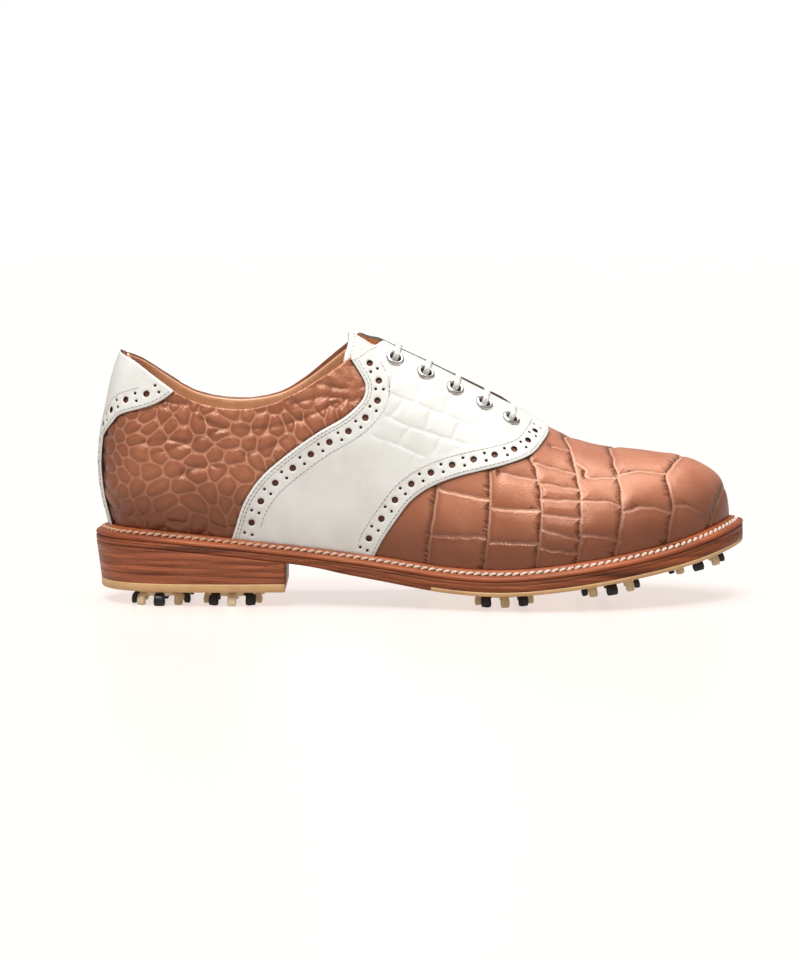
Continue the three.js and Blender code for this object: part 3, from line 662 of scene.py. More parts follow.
def rows_along(chart, line, pitch, start=0.0, end=0.0, closing=0.0):
    """Spots at a true pitch along a chart line, with the line's direction there.

    closing is how much shorter each space is than the one before it.
    """
    at = distance_along(surface(chart, line))
    count = np.arange(int(at[-1] / (0.7 * pitch)) + 1)
    where = start + pitch * count - closing / 2 * count**2
    where = where[(where < at[-1] - end) & (np.gradient(where) > 0.5 * pitch)]
    ahead = np.minimum(where + 0.3, at[-1])
    behind = np.maximum(where - 0.3, 0)
    spot = np.stack([np.interp(where, at, line[:, k]) for k in (0, 1)], 1)
    way = np.stack([np.interp(ahead, at, line[:, k]) - np.interp(behind, at, line[:, k]) for k in (0, 1)], 1)
    return np.hstack([spot, unit(way)])


# ---------- materials ----------


class Nodes:
    """A small helper to write a material's node tree."""

    def __init__(self, name):
        self.material = bpy.data.materials.new(name)
        self.material.use_nodes = True
        self.tree = self.material.node_tree
        self.shader = self.tree.nodes["Principled BSDF"]
        self.position = self.add("ShaderNodeNewGeometry").outputs["Position"]

    def add(self, kind, **settings):
        node = self.tree.nodes.new(kind)
        for key, value in settings.items():
            setattr(node, key, value)
        return node

    def put(self, value, socket):
        if isinstance(value, bpy.types.NodeSocket):
            self.tree.links.new(value, socket)
        elif value is not None:
            socket.default_value = value

    def stretch(self, x, y, z):
        node = self.add("ShaderNodeMapping")
        self.put(self.position, node.inputs["Vector"])
        node.inputs["Scale"].default_value = (x, y, z)
        return node.outputs["Vector"]

    def noise(self, scale, detail=3.0, vector=None, rough=0.55):
        node = self.add("ShaderNodeTexNoise")
        self.put(vector or self.position, node.inputs["Vector"])
        node.inputs["Scale"].default_value = scale
        node.inputs["Detail"].default_value = detail
        node.inputs["Roughness"].default_value = rough
        return node.outputs["Fac"]

    def cells(self, scale):
        node = self.add("ShaderNodeTexVoronoi", feature="F1")
        self.put(self.position, node.inputs["Vector"])
        node.inputs["Scale"].default_value = scale
        return node.outputs["Distance"]

    def offset(self, vector, amount):
        node = self.add("ShaderNodeVectorMath", operation="ADD")
        self.put(vector, node.inputs[0])
        node.inputs[1].default_value = (amount, amount, amount)
        return node.outputs["Vector"]

    def math(self, operation, a, b):
        node = self.add("ShaderNodeMath", operation=operation)
        self.put(a, node.inputs[0])
        self.put(b, node.inputs[1])
        return node.outputs[0]

    def band(self, value, low, high, to_low=0.0, to_high=1.0):
        node = self.add("ShaderNodeMapRange", clamp=True)
        self.put(value, node.inputs["Value"])
        for key, number in (("From Min", low), ("From Max", high), ("To Min", to_low), ("To Max", to_high)):
            node.inputs[key].default_value = number
        return node.outputs["Result"]

    def mix(self, share, a, b):
        node = self.add("ShaderNodeMix", data_type="RGBA")
        self.put(share, node.inputs[0])
        self.put(a, node.inputs[6])
        self.put(b, node.inputs[7])
        return node.outputs[2]

    def attribute(self, name):
        return self.add("ShaderNodeAttribute", attribute_name=name).outputs["Fac"]

    def bump(self, height, distance, strength):
        node = self.add("ShaderNodeBump")
        self.put(height, node.inputs["Height"])
        node.inputs["Distance"].default_value = distance
        node.inputs["Strength"].default_value = strength
        return node.outputs["Normal"]

    def finish(self, color, roughness, normal=None, **sockets):
        self.put(color, self.shader.inputs["Base Color"])
        self.put(roughness, self.shader.inputs["Roughness"])
        self.put(normal, self.shader.inputs["Normal"])
        for key, value in sockets.items():
            self.shader.inputs[key.replace("_", " ")].default_value = value
        return self.material


def rgb(red, green, blue):
    """A colour given in sRGB, 11 to 255."""
    return (*(((c / 255 + 0.055) / 1.055) ** 2.4 for c in (red, green, blue)), 1.0)


def embossed_leather(name, base, deep, crease, painted_shade, line, pleats=0.0, wrinkle=0.0):
    """Leather embossed in scales.

    "away" is the distance from the nearest crease in millimetres, "run" the distance along it,
    "heelward" is 1 on the crease's heel side, "fold" is 1 in the depth of a fold and "low" is 1
    beside the welt, where painted shade darkens the leather. The fourth colour is painted shade, laid
    beside the creases, in the folds and pleats, and where "low" is high.
    """
    n = Nodes(name)
    away, run = n.attribute("away"), n.attribute("run")
    blotch = n.noise(45, 4)
    fine = n.noise(700, 6, rough=0.7)
    color = n.mix(n.band(blotch, 0.35, 0.68), base, deep)
    color = n.mix(n.band(fine, 0.35, 0.7, 0, 0.4), color, deep)
    # painted shade beside each crease, deeper on its heel side
    painted_crease_shade = n.math("MULTIPLY", n.band(away, 0.3, 0.9), n.band(away, 3.4, 1.0))
    heelward = n.band(n.attribute("heelward"), 0.0, 1.0, 0.25, 0.9)
    color = n.mix(n.math("MULTIPLY", painted_crease_shade, heelward), color, painted_shade)
    # painted shade in the depth of each fold
    color = n.mix(n.math("MULTIPLY", n.attribute("fold"), 0.7), color, painted_shade)
    height = n.math("ADD", n.math("MULTIPLY", fine, 0.8), n.math("MULTIPLY", n.cells(1300), 0.35))
    height = n.math("ADD", height, n.math("MULTIPLY", n.noise(230, 3), wrinkle))
    if pleats:
        across = n.add("ShaderNodeCombineXYZ")
        n.put(n.math("MULTIPLY", run, 0.55), across.inputs[0])
        n.put(n.math("MULTIPLY", away, 0.09), across.inputs[1])
        ticks = n.band(n.noise(1.0, 1, across.outputs[0], 0.5), 0.47, 0.66)
        reach = n.band(n.noise(1.0, 0, n.offset(across.outputs[0], 7.3)), 0.3, 0.7, 1.6, 5.4)
        near = n.band(n.math("DIVIDE", away, reach), 1.0, 0.25)
        ticks = n.math("MULTIPLY", ticks, n.math("MULTIPLY", near, n.band(away, 0.35, 0.6)))
        ticks = n.math("MULTIPLY", ticks, n.attribute("heelward"))
        # painted shade in the pleats' short ticks, as well as their dents
        color = n.mix(n.math("MULTIPLY", ticks, 0.62), color, painted_shade)
        height = n.math("SUBTRACT", height, n.math("MULTIPLY", ticks, pleats))
    uneven = n.band(n.noise(70, 3), 0.35, 0.65, 0.45, 0.95)
    color = n.mix(n.math("MULTIPLY", n.band(away, line, line * 0.3), uneven), color, crease)
    # painted shade low on the upper, where less light reaches
    color = n.mix(n.math("MULTIPLY", n.attribute("low"), 0.78), color, painted_shade)
    rough = n.band(n.noise(260, 3), 0.3, 0.7, 0.27, 0.39)
    return n.finish(
        color, rough, n.bump(height, 0.00018, 0.8), Specular_IOR_Level=0.9, Specular_Tint=rgb(255, 208, 182),
    )


def smooth_leather(name, light, dark, roughness, sheen=0.0):
    """Finely grained leather, darker where the "tone" of the piece is high."""
    n = Nodes(name)
    blotch = n.noise(55, 4)
    fine = n.noise(1300, 4, rough=0.6)
    color = n.mix(n.band(blotch, 0.3, 0.72), light, dark)
    color = n.mix(n.band(n.attribute("tone"), 0.05, 0.9, 0, 0.55), color, dark)
    height = n.math("ADD", fine, n.math("MULTIPLY", n.cells(1100), 0.6))
    rough = n.band(n.noise(300, 3), 0.3, 0.7, roughness - 0.05, roughness + 0.07)
    return n.finish(color, rough, n.bump(height, 0.00012, 0.5), Sheen_Weight=sheen)


def stacked_leather(name, light, dark, roughness=0.38, layers=620.0):
    """The waxed edge of stacked leather: thin level streaks, broken along their length."""
    n = Nodes(name)
    streak = n.noise(1.0, 5, n.stretch(26, 26, layers), 0.62)
    broad = n.noise(1.0, 3, n.stretch(7, 7, 260), 0.5)
    pores = n.noise(1.0, 2, n.stretch(420, 420, 1500), 0.5)
    share = n.math("ADD", n.math("MULTIPLY", streak, 0.5), n.math("MULTIPLY", broad, 0.5))
    color = n.mix(n.band(share, 0.38, 0.6), dark, light)
    color = n.mix(n.band(pores, 0.62, 0.75, 0, 0.5), color, dark)
    height = n.math("ADD", streak, n.math("MULTIPLY", pores, 0.4))
    return n.finish(
        color, n.band(streak, 0.3, 0.7, roughness + 0.1, roughness - 0.05), n.bump(height, 0.0003, 0.5),
        Specular_IOR_Level=0.3, Specular_Tint=rgb(255, 214, 190),
    )


def honey_rubber(name, light, dark):
    """Clouded rubber that lets a little light in."""
    n = Nodes(name)
    cloud = n.noise(60, 3)
    speck = n.noise(1400, 2)
    color = n.mix(n.band(cloud, 0.3, 0.7), light, dark)
    height = n.math("ADD", speck, n.math("MULTIPLY", cloud, 0.5))
    return n.finish(
        color, n.band(speck, 0.3, 0.7, 0.36, 0.5), n.bump(height, 0.00012, 0.4),
        Subsurface_Weight=0.25, Subsurface_Scale=0.002,
    )


def moulded_plastic(name, light, dark, roughness, **sockets):
    """Plastic with the fine grain of its mould."""
    n = Nodes(name)
    grain = n.noise(1600, 3)
    color = n.mix(n.band(n.noise(90, 3), 0.35, 0.65), light, dark)
    rough = n.band(grain, 0.3, 0.7, roughness - 0.06, roughness + 0.08)
    return n.finish(color, rough, n.bump(grain, 0.00008, 0.4), **sockets)


def plated_metal(name, light, dark, roughness):
    """Bright metal with worn patches."""
    n = Nodes(name)
    wear = n.noise(350, 4)
    color = n.mix(n.band(wear, 0.4, 0.75), light, dark)
    rough = n.band(n.noise(900, 3), 0.3, 0.7, roughness - 0.06, roughness + 0.08)
    return n.finish(color, rough, n.bump(wear, 0.00003, 0.3), Metallic=1.0)


def woven_thread(name, light, dark, scale, waxed=None):
    """Twisted thread. "waxed" is a browner colour that it takes on towards the heel."""
    n = Nodes(name)
    if waxed:
        along = n.add("ShaderNodeSeparateXYZ")
        n.put(n.position, along.inputs[0])
        light = n.mix(n.band(along.outputs[0], -0.09, 0.03), waxed, light)
    strands = n.add("ShaderNodeTexWave", wave_type="BANDS", bands_direction="DIAGONAL")
    n.put(n.position, strands.inputs["Vector"])
    strands.inputs["Scale"].default_value = scale
    strands.inputs["Distortion"].default_value = 1.2
    weave = strands.outputs["Fac"]
    fuzz = n.noise(2600, 3)
    color = n.mix(n.band(weave, 0.2, 0.8), dark, light)
    height = n.math("ADD", weave, n.math("MULTIPLY", fuzz, 0.5))
    return n.finish(color, n.band(fuzz, 0.3, 0.7, 0.7, 0.88), n.bump(height, 0.0002, 0.7), Sheen_Weight=0.2)


def granules(name, light, dark, scale, roughness=0.85):
    """Pressed grains: cork and fibre board."""
    n = Nodes(name)
    grain = n.cells(scale)
    color = n.mix(n.band(grain, 0.1, 0.6), light, dark)
    return n.finish(color, roughness, n.bump(grain, 0.0004, 0.7))


# The fourth colour of each embossed leather is its painted shade.
VAMP_BROWN = embossed_leather(
    "vamp_brown", rgb(188, 123, 94), rgb(162, 98, 71), rgb(206, 156, 130), rgb(88, 43, 25), 0.85, 5.0,
)
QUARTER_BROWN = embossed_leather(
    "quarter_brown", rgb(174, 110, 80), rgb(148, 86, 59), rgb(200, 142, 114), rgb(86, 42, 25), 0.44, 0.0, 3.0,
)
BROWN_EDGE = smooth_leather("brown_edge", rgb(150, 92, 64), rgb(112, 64, 42), 0.5)
BACKING = smooth_leather("brown_backing", rgb(128, 74, 50), rgb(96, 52, 34), 0.6)
WHITE = smooth_leather("white_leather", rgb(226, 225, 219), rgb(210, 208, 200), 0.36)
DARK_EDGE = smooth_leather("dark_edge", rgb(72, 50, 40), rgb(48, 33, 27), 0.55)
TAN = smooth_leather("tan_lining", rgb(236, 184, 142), rgb(216, 160, 116), 0.42, sheen=0.1)
SOCK = smooth_leather("sock_leather", rgb(186, 132, 92), rgb(160, 108, 72), 0.55)
WELT = stacked_leather("welt_leather", rgb(158, 84, 50), rgb(114, 56, 32), 0.36, 300)
SOLE = stacked_leather("sole_edge", rgb(144, 79, 51), rgb(72, 35, 22), 0.38)
LIFT = stacked_leather("heel_stack", rgb(172, 100, 70), rgb(88, 45, 30), 0.36)
RUBBER = honey_rubber("honey_rubber", rgb(218, 178, 126), rgb(196, 152, 102))
BLACK = moulded_plastic("black_plastic", rgb(24, 24, 25), rgb(14, 14, 15), 0.36)
CLEAR = moulded_plastic(
    "clear_plastic", rgb(232, 216, 184), rgb(214, 194, 156), 0.22,
    Subsurface_Weight=0.4, Subsurface_Scale=0.003,
)
NICKEL = plated_metal("nickel", rgb(222, 219, 215), rgb(176, 170, 165), 0.24)
STEEL = plated_metal("shank_steel", rgb(150, 152, 156), rgb(112, 114, 118), 0.42)
LACE = woven_thread("lace", rgb(236, 235, 231), rgb(206, 203, 196), 900)
CREAM = woven_thread("welt_thread", rgb(246, 234, 218), rgb(206, 170, 140), 1500, waxed=rgb(206, 142, 104))
FINE_THREAD = woven_thread("white_thread", rgb(226, 223, 216), rgb(190, 185, 176), 2500)
# dark marks of painted shade for the needle holes
NEEDLE_HOLE_SHADE = granules("needle_hole_shade", rgb(96, 78, 66), rgb(66, 52, 44), 2500)
BOARD = granules("fibre_board", rgb(196, 170, 134), rgb(160, 132, 98), 900)
CORK = granules("cork", rgb(168, 128, 84), rgb(96, 66, 42), 420, 0.95)

# ---------- relief of the leathers ----------

# Creases between the vamp's large scales, seen from the outer side as (x, z).
BELLY_BANDS = [
    [(3, 20), (5, 36), (8, 56)],
    [(28.6, 18), (31, 40.3), (31.6, 60), (31, 68)],
    [(52, 18), (54.6, 44.9), (52.6, 61.7), (50.3, 66.5), (46, 76)],
    [(70.5, 19), (72.6, 47), (69.8, 65.9), (68, 72), (66.5, 74.8)],
    [(87.4, 22), (91.2, 46.8), (88.8, 64.5), (87.4, 69.6)],
    [(111.4, 27), (114.7, 46), (112.4, 57), (115, 62), (120.4, 65.6)],
    [(131.5, 32), (135.4, 42), (139.6, 50), (141.4, 51.2)],
]
CROSS_CREASES = [
    [(5, 33), (28.8, 33)],
    [(8, 54.2), (20, 51.6), (31, 49.9)],
    [(31, 46.1), (54, 45)],
    [(31, 30.8), (53.6, 30.6)],
    [(36, 61.4), (52.6, 58.4)],
    [(50.6, 66), (69.4, 60.6)],
    [(53, 57), (71, 54)],
    [(54, 50), (72, 49)],
    [(54.5, 43.6), (72.4, 41.4)],
    [(54, 37), (72, 31.8)],
    [(52.6, 28.6), (71.4, 25.8)],
    [(60, 72), (67.6, 70.2)],
    [(71.4, 34.6), (84, 33), (90, 31)],
    [(72.3, 49), (84, 48.6), (91, 46)],
    [(69.8, 65.5), (75, 62), (76, 58.8), (89.6, 58.6)],
    [(92, 44.4), (102, 45.8), (114, 43)],
    [(89.2, 59.4), (100, 61), (112.6, 59.6)],
    [(114.6, 46.2), (122, 45), (129, 41), (133.6, 36.4)],
]
CREASE_STEP = 0.55
# Soft folds of the quarter, seen from the side.
FOLDS = [
    [(-117, 93.9), (-110, 92.4), (-103, 92.8)],
    [(-122, 69.6), (-110.6, 72.9), (-100.2, 77), (-88.6, 81.6)],
    [(-125.6, 74.7), (-116.3, 76.4), (-106, 75.4)],
    [(-99, 85.6), (-86.3, 81.8), (-69, 81.8), (-51.7, 86.4), (-38, 93)],
    [(-47.1, 101.6), (-36.7, 99.3), (-29.7, 98.9)],
    [(-57.4, 92.8), (-44.8, 95.2), (-33, 94.6)],
    [(-108, 61), (-98, 64.6), (-90, 63.6)],
    [(-79, 69.5), (-70, 72.5), (-60, 77)],
]


def wobble(points, size, seed):
    """A smooth pseudo-random field of about -1 to 1 over 2-D or 3-D points."""
    r = np.random.default_rng(seed)
    total = np.zeros(len(points))
    for _ in range(7):
        way = r.normal(size=points.shape[1])
        way *= (0.6 + 0.9 * r.random()) * 2 * math.pi / size / np.linalg.norm(way)
        total += np.sin(points @ way + r.random() * 6.28)
    return total / 3.2


class Creases:
    """Points along crease lines, with each line's direction and the distance run along it."""

    def __init__(self, lines):
        points, ways, runs = [], [], []
        for line in lines:
            even = resample(line, CREASE_STEP)
            points.append(even)
            ways.append(unit(np.gradient(even, axis=0)))
            runs.append(rng.uniform(0, 400) + np.arange(len(even)) * CREASE_STEP)
        self.points, self.ways, self.runs = np.vstack(points), np.vstack(ways), np.concatenate(runs)

    def near(self, flat):
        """Distance to the nearest crease, run along it, and the way to it."""
        index, away = nearest(flat, self.points)
        offset = flat - self.points[index]
        along = np.sum(offset * self.ways[index], 1)
        across = np.sqrt(np.maximum(away**2 - np.minimum(along**2, (0.5 * CREASE_STEP) ** 2), 0))
        return across, self.runs[index] + along, offset


def vamp_creases():
    """All vamp creases in chart coordinates. The inner side nearly mirrors the outer."""
    lines = []
    for outer in (True, False):
        shift = np.array([0.0, 0.0]) if outer else np.array([2.5, 0.6])
        for band in BELLY_BANDS + CROSS_CREASES:
            lines.append(trace_side(smooth_line(np.array(band) + shift, per_span=6), outer))
    for band in BELLY_BANDS[2:6]:
        tops = ((True, np.array(band[-1])), (False, np.array(band[-1]) + 2.5))
        lines.append(np.array([trace_side([top], outer)[0] for outer, top in tops]))
    lines.append(np.array([(u_of(66), -3), (u_of(88), 1.0), (u_of(112), 3.0)]))
    bent = []
    for line in lines:
        even = resample(line, CREASE_STEP)
        bent.append(even + np.stack([wobble(even, 11, 3), wobble(even, 11, 4)], 1) * 0.24)
    return Creases(bent)


def painted_low_shade(above_welt):
    """How much painted shade lies on the leather: 1 at the welt, fading out upwards."""
    return 1 - smooth_step(4, 34, above_welt)


def shade_beside(flat, line):
    """How much painted shade darkens the leather in the corner beside a line."""
    return 0.95 * np.exp(-((nearest(flat, resample(line, 0.5))[1] / 1.1) ** 2))


def vamp_relief(creases):
    """Large scales with light creases, puckered on each crease's heel side."""

    def relief(flat, base):
        away, run, offset = creases.near(flat)
        heelward = (offset[:, 0] < 0) * smooth_step(0.35, 0.75, np.abs(offset[:, 0]) / np.maximum(away, 0.05))
        groove = np.exp(-((away / 0.5) ** 2))
        pillow = 1 - np.exp(-((away / 3.2) ** 2))
        pucker = heelward * np.exp(-((away / 2.2) ** 2)) * wobble(np.stack([run, run], 1), 5, 9)
        height = -0.5 * groove + 0.5 * pillow + 0.1 * pucker + 0.08 * wobble(base, 14, 5)
        # low: painted shade, darkest at the welt and in the corner beside the saddle's front edge
        low = painted_low_shade(girth(flat[:, 0], flat[:, 1] < 0) - np.abs(flat[:, 1]))
        for outer in (True, False):
            low = np.maximum(low, shade_beside(flat, edge_line(outer, "front")))
        return height, {"away": away, "run": run, "heelward": heelward, "fold": 0 * away, "low": low}

    return relief


SCALE_WIDE = 10.2  # spacing of the quarter's scales at the welt
SCALE_HIGH = 8.6


def flank_seeds(low, high):
    """Centres of the quarter's rounded scales: large near the welt, smaller and flatter above."""
    seeds = []
    b, row = low[1] - 4.0, 0
    while b < high[1] + 8:
        share = np.clip(b / 70, 0, 1)
        width, rise = SCALE_WIDE - 1.4 * share, SCALE_HIGH - 1.4 * share
        for q in np.arange(low[0] - 12, high[0] + 12, width):
            jitter = rng.uniform(-0.27, 0.27, 2) * (width, rise)
            spot = np.array([q + (row % 2) * width / 2, b]) + jitter
            seeds.append(spot)
            if rng.random() < 0.22:
                seeds.append(spot + (0.5 * width, rng.uniform(0.3, 0.5) * rise))
        b += rise
        row += 1
    return np.array(seeds)


def scale_bend(flat):
    """A slow bending, so that the rows of scales are not straight."""
    return np.stack([wobble(flat, 26, 11) * 2.0, wobble(flat, 38, 12) * 2.4], 1)


def round_corners(loop, times=2):
    """A closed loop with its corners cut again and again, until it is round."""
    for _ in range(times):
        after = np.roll(loop, -1, 0)
        loop = np.stack([0.8 * loop + 0.2 * after, 0.2 * loop + 0.8 * after], 1).reshape(-1, 2)
    return loop


def cells_round(seeds):
    """The cell of places nearest to each seed: (its number, its corners in order), closed cells only."""
    made = geometry.delaunay_2d_cdt([Vector(p) for p in seeds], [], [], 0, 1e-4)
    points, faces = np.array([tuple(v) for v in made[0]]), np.array(made[2])
    a, b, c = points[faces[:, 0]], points[faces[:, 1]], points[faces[:, 2]]
    twice = 2 * ((b - a)[:, 0] * (c - a)[:, 1] - (b - a)[:, 1] * (c - a)[:, 0])
    bb, cc = np.sum((b - a) ** 2, 1), np.sum((c - a) ** 2, 1)
    corners = a + np.stack([
        ((c - a)[:, 1] * bb - (b - a)[:, 1] * cc) / twice, ((b - a)[:, 0] * cc - (c - a)[:, 0] * bb) / twice,
    ], 1)
    around = [[] for _ in points]
    for k, face in enumerate(faces.tolist()):
        for corner in face:
            around[corner].append(k)
    cells = []
    for number, ring in enumerate(around):
        spokes = corners[ring] - points[number]
        if len(ring) > 3 and np.max(length_of(spokes)) < 14:
            turn = np.arctan2(spokes[:, 1], spokes[:, 0])
            cells.append((number, corners[ring][np.argsort(turn)]))
    return cells


def flank_creases(outline):
    """The rounded edges of the quarter's scales, in chart coordinates."""
    seeds = flank_seeds(outline.min(0), outline.max(0))
    for _ in range(2):
        for number, loop in cells_round(seeds):
            seeds[number] = loop.mean(0)
    loops = []
    for _, loop in cells_round(seeds):
        loop = round_corners(loop)
        target = round_trip(loop)
        loop = target
        for _ in range(3):
            loop = target - scale_bend(loop)
        loops.append(loop)
    return Creases(loops)


def quarter_relief(creases, outer):
    """Rounded scales with thin light creases, and soft folds under the topline."""
    shift = np.array([0.0, 0.0]) if outer else np.array([-4.0, 1.0])
    lines = [smooth_line(np.array(fold) + shift, per_span=8) for fold in FOLDS]
    folds = Creases([trace_side(line, outer, HeelChart) for line in lines])

    def relief(flat, base):
        away, run, _ = creases.near(flat)
        fold_away, fold_run, _ = folds.near(flat)
        calm = smooth_step(82, 102, base[:, 2])
        groove = np.exp(-((away / 0.45) ** 2)) * (1 - 0.75 * calm)
        pillow = (1 - np.exp(-((away / 1.9) ** 2))) * (1 - 0.5 * calm)
        depth = np.clip(0.7 + 0.4 * wobble(np.stack([fold_run, fold_run], 1), 26, 17), 0, 1)
        fold = depth * np.exp(-((fold_away / 1.2) ** 2))
        swell = depth * np.exp(-(((fold_away - 4.4) / 3.0) ** 2))
        wave = wobble(np.stack([flat[:, 0] * 0.5 + flat[:, 1] * 0.4, flat[:, 1]], 1), 24, 13)
        height = -0.3 * groove + 0.55 * pillow - 0.5 * fold + 0.3 * swell + 0.25 * wave
        # "fold" also places painted shade in each fold's depth
        shades = {"away": away + 0.6 * calm, "run": run, "heelward": 0 * away, "fold": 0.7 * fold}
        # low: painted shade at the welt, beside the back seam and in the corner beside the saddle's back edge
        painted_seam_shade = 0.75 * (1 - smooth_step(8, 36, np.abs(flat[:, 0])))
        saddle_edge = HeelChart.pq(edge_line(outer, "back"))
        shades["low"] = np.max([painted_low_shade(flat[:, 1]), painted_seam_shade, shade_beside(flat, saddle_edge)], 0)
        return height, shades

    return relief


def saddle_relief(outline):
    """A faint emboss of large squares inside the brogued border."""
    edge = resample(outline, 0.8, closed=True)
    return lambda flat, base: squares(flat, base, smooth_step(10.8, 13, nearest(flat, edge)[1]))


SQUARE_HIGH = 11.5
SQUARE_WIDE = 15.5
FIRST_ROW = 12  # how far down from the ridge the squares' first line runs


def from_line(steps):
    """How far each place is from the nearest whole step."""
    return np.abs(steps - np.round(steps))


def squares(flat, base, fade):
    """Lines beside the lacing and lines square to them. The facing's edge is lifted on the far side."""
    s = np.abs(flat[:, 1]) + 0.8 * wobble(flat, 30, 21)
    lean = flat[:, 0] + 0.38 * s + 1.2 * wobble(flat, 34, 22)
    row = (s - FIRST_ROW) / SQUARE_HIGH
    shifted = lean + 5.0 * np.sin(np.round(row + 0.5) * 2.4 + 1)
    away = np.minimum(from_line(row) * SQUARE_HIGH, from_line(shifted / SQUARE_WIDE) * SQUARE_WIDE)
    fade = fade * (1 - smooth_step(58, 74, s))
    line = np.exp(-((away / 0.6) ** 2)) * fade
    pillow = (1 - np.exp(-((away / 2.6) ** 2))) * fade
    beside_lace = 1 - smooth_step(7, 13, np.abs(flat[:, 1]))
    beside_lace *= 1 - smooth_step(u_of(36), u_of(44), flat[:, 0])
    lift = np.where(flat[:, 1] > 0, 0.9, -0.3) * beside_lace
    tone = 0.5 * fade * (1 - line)
    return -0.26 * line + 0.14 * pillow + 0.05 * wobble(base, 20, 23) + lift, {"tone": tone}


# ---------- the upper ----------


def feather(u_from, u_to, outer, count=160):
    """The upper's lower edge between two places along the shoe."""
    u = np.linspace(u_from, u_to, count)
    g = girth(u, np.array(outer))
    return np.stack([u, -g if outer else g], 1)


def extend_to_feather(line, outer):
    """A chart line carried straight on from its last point down to the welt."""
    u = line[-1, 0]
    s = float(girth(np.array([u]), np.array(outer))[0])
    return joined(line, [u, -s if outer else s])


def on_overlay(line, outer, chart=RidgeChart, per_span=8):
    """A pattern line of a piece that lies over the others."""
    return trace_side(smooth_line(line, per_span=per_span), outer, chart, OVERLAY_DEPTH)


saddle_back = {o: on_overlay(SADDLE_BACK, o) for o in (True, False)}
saddle_front = {o: on_overlay(SADDLE_FRONT, o) for o in (True, False)}
saddle_top = {True: on_overlay(SADDLE_TOP, True), False: on_overlay(INNER_SADDLE_TOP, False)}
facing = {o: trace_plan(smooth_line(FACING_GAP, per_span=6), o) for o in (True, False)}


def saddle_half(outer):
    """One side of the saddle's outline from the ridge in front, round by the welt to the throat."""
    front = extend_to_feather(saddle_front[outer][1:], outer)
    back = extend_to_feather(saddle_back[outer][::-1], outer)[::-1]
    lower = feather(front[-1, 0], back[0, 0], outer)[1:-1]
    return joined(front, lower, back, saddle_top[outer][1:-3], facing[outer])


LARGE_HOLE_R = 1.5
SMALL_HOLE_R = 0.68
HOLE_PITCH = 10.8
HOLE_CLOSING = 0.16
PAIR_HALF = 1.8  # from the row's middle to each hole of a small pair


def brogue_spots(chart, line, offset, first, last):
    """Centres of the large holes, and of the small pairs between them, beside an edge."""
    middle = beside(chart, line, offset)
    large = rows_along(chart, middle, HOLE_PITCH, first, last, HOLE_CLOSING)
    pairs = rows_along(chart, middle, HOLE_PITCH, first + HOLE_PITCH / 2, last, HOLE_CLOSING)
    before = rows_along(chart, middle, HOLE_PITCH, first - HOLE_PITCH / 2, last)[:1]
    pairs = np.vstack([before, pairs])
    pairs = pairs[nearest(pairs[:, :2], middle[:1])[1] > 2.5]
    small = [step_left(chart, pairs[:, :2], pairs[:, 2:], side) for side in (-PAIR_HALF, PAIR_HALF)]
    spots = [(tuple(pq), LARGE_HOLE_R) for pq in large[:, :2]]
    return spots + [(tuple(pq), SMALL_HOLE_R) for pq in np.vstack(small)]


def edge_line(outer, which):
    """A saddle edge from the welt upwards, so that its inside is on a known hand."""
    if which == "back":
        return extend_to_feather(saddle_back[outer][::-1], outer)[::-1]
    return extend_to_feather(saddle_front[outer], outer)[::-1]


FINE_PITCH = 2.05
# How far in from an edge the large holes and each row of stitches run.
BACK_HOLES, FRONT_HOLES, TAB_HOLES = 6.4, 5.8, 5.7
BACK_ROWS, FRONT_ROWS, TOP_ROW = (1.3, 2.6, 10.9), (1.4, 9.6), 1.3
stitch_lines = []  # (chart, line, outline that it stays inside, clearance from that outline)


def stitch_beside(chart, line, offset, outline, clearance):
    """Notes a row of fine stitches to be made beside an edge."""
    stitch_lines.append((chart, beside(chart, line, offset), outline, clearance))


def make_saddle():
    """The white saddle over both sides and its backing, seen through the brogue holes."""
    half = {o: saddle_half(o) for o in (True, False)}
    throat = [(u_of(THROAT), 0.6)]
    outline = joined(half[True], throat, half[False][::-1])
    holes = []
    for outer in (True, False):
        back, front = edge_line(outer, "back"), edge_line(outer, "front")
        way = -1 if outer else 1
        holes += brogue_spots(RidgeChart, back, BACK_HOLES * way, 11.2, 5.0)
        holes += brogue_spots(RidgeChart, front, -FRONT_HOLES * way, 8.6, 0.5)
        for offset in BACK_ROWS:
            stitch_beside(RidgeChart, back, offset * way, outline, 0.7 * offset)
        for offset in FRONT_ROWS:
            stitch_beside(RidgeChart, front, -offset * way, outline, 0.7 * offset)
        holes += [(tuple(spot), EYELET_HOLE_R + 0.5) for spot in eyelet_spots(outer)]
        stitch_beside(RidgeChart, saddle_top[outer][:-3], TOP_ROW * way, outline, 0.9)
    holes = thin_out([h for h in holes if inside(np.array([h[0]]), outline)[0]])
    piece = sheet(
        "saddle_leather", RidgeChart, outline, [WHITE, DARK_EDGE, TAN], holes, 0.85, OVERLAY_DEPTH, 1.3,
        saddle_relief(outline),
    )
    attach(piece, "shoe")
    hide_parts("saddle")
    backing = sheet("brogue_backing", RidgeChart, outline, [BACKING, DARK_EDGE, TAN], (), 2.5, -0.2, 0.15)
    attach(backing, "shoe")


def eyelet_spots(outer):
    """One side's eyelets as (u, s)."""
    return trace_side(EYELETS, outer, depth=OVERLAY_DEPTH)


def thin_out(holes):
    """Leaves out a hole that would break into one already kept."""
    kept = []
    for centre, radius in sorted(holes, key=lambda h: -h[1]):
        if all(math.dist(centre, c) > radius + r + 0.7 for c, r in kept):
            kept.append((centre, radius))
    return kept


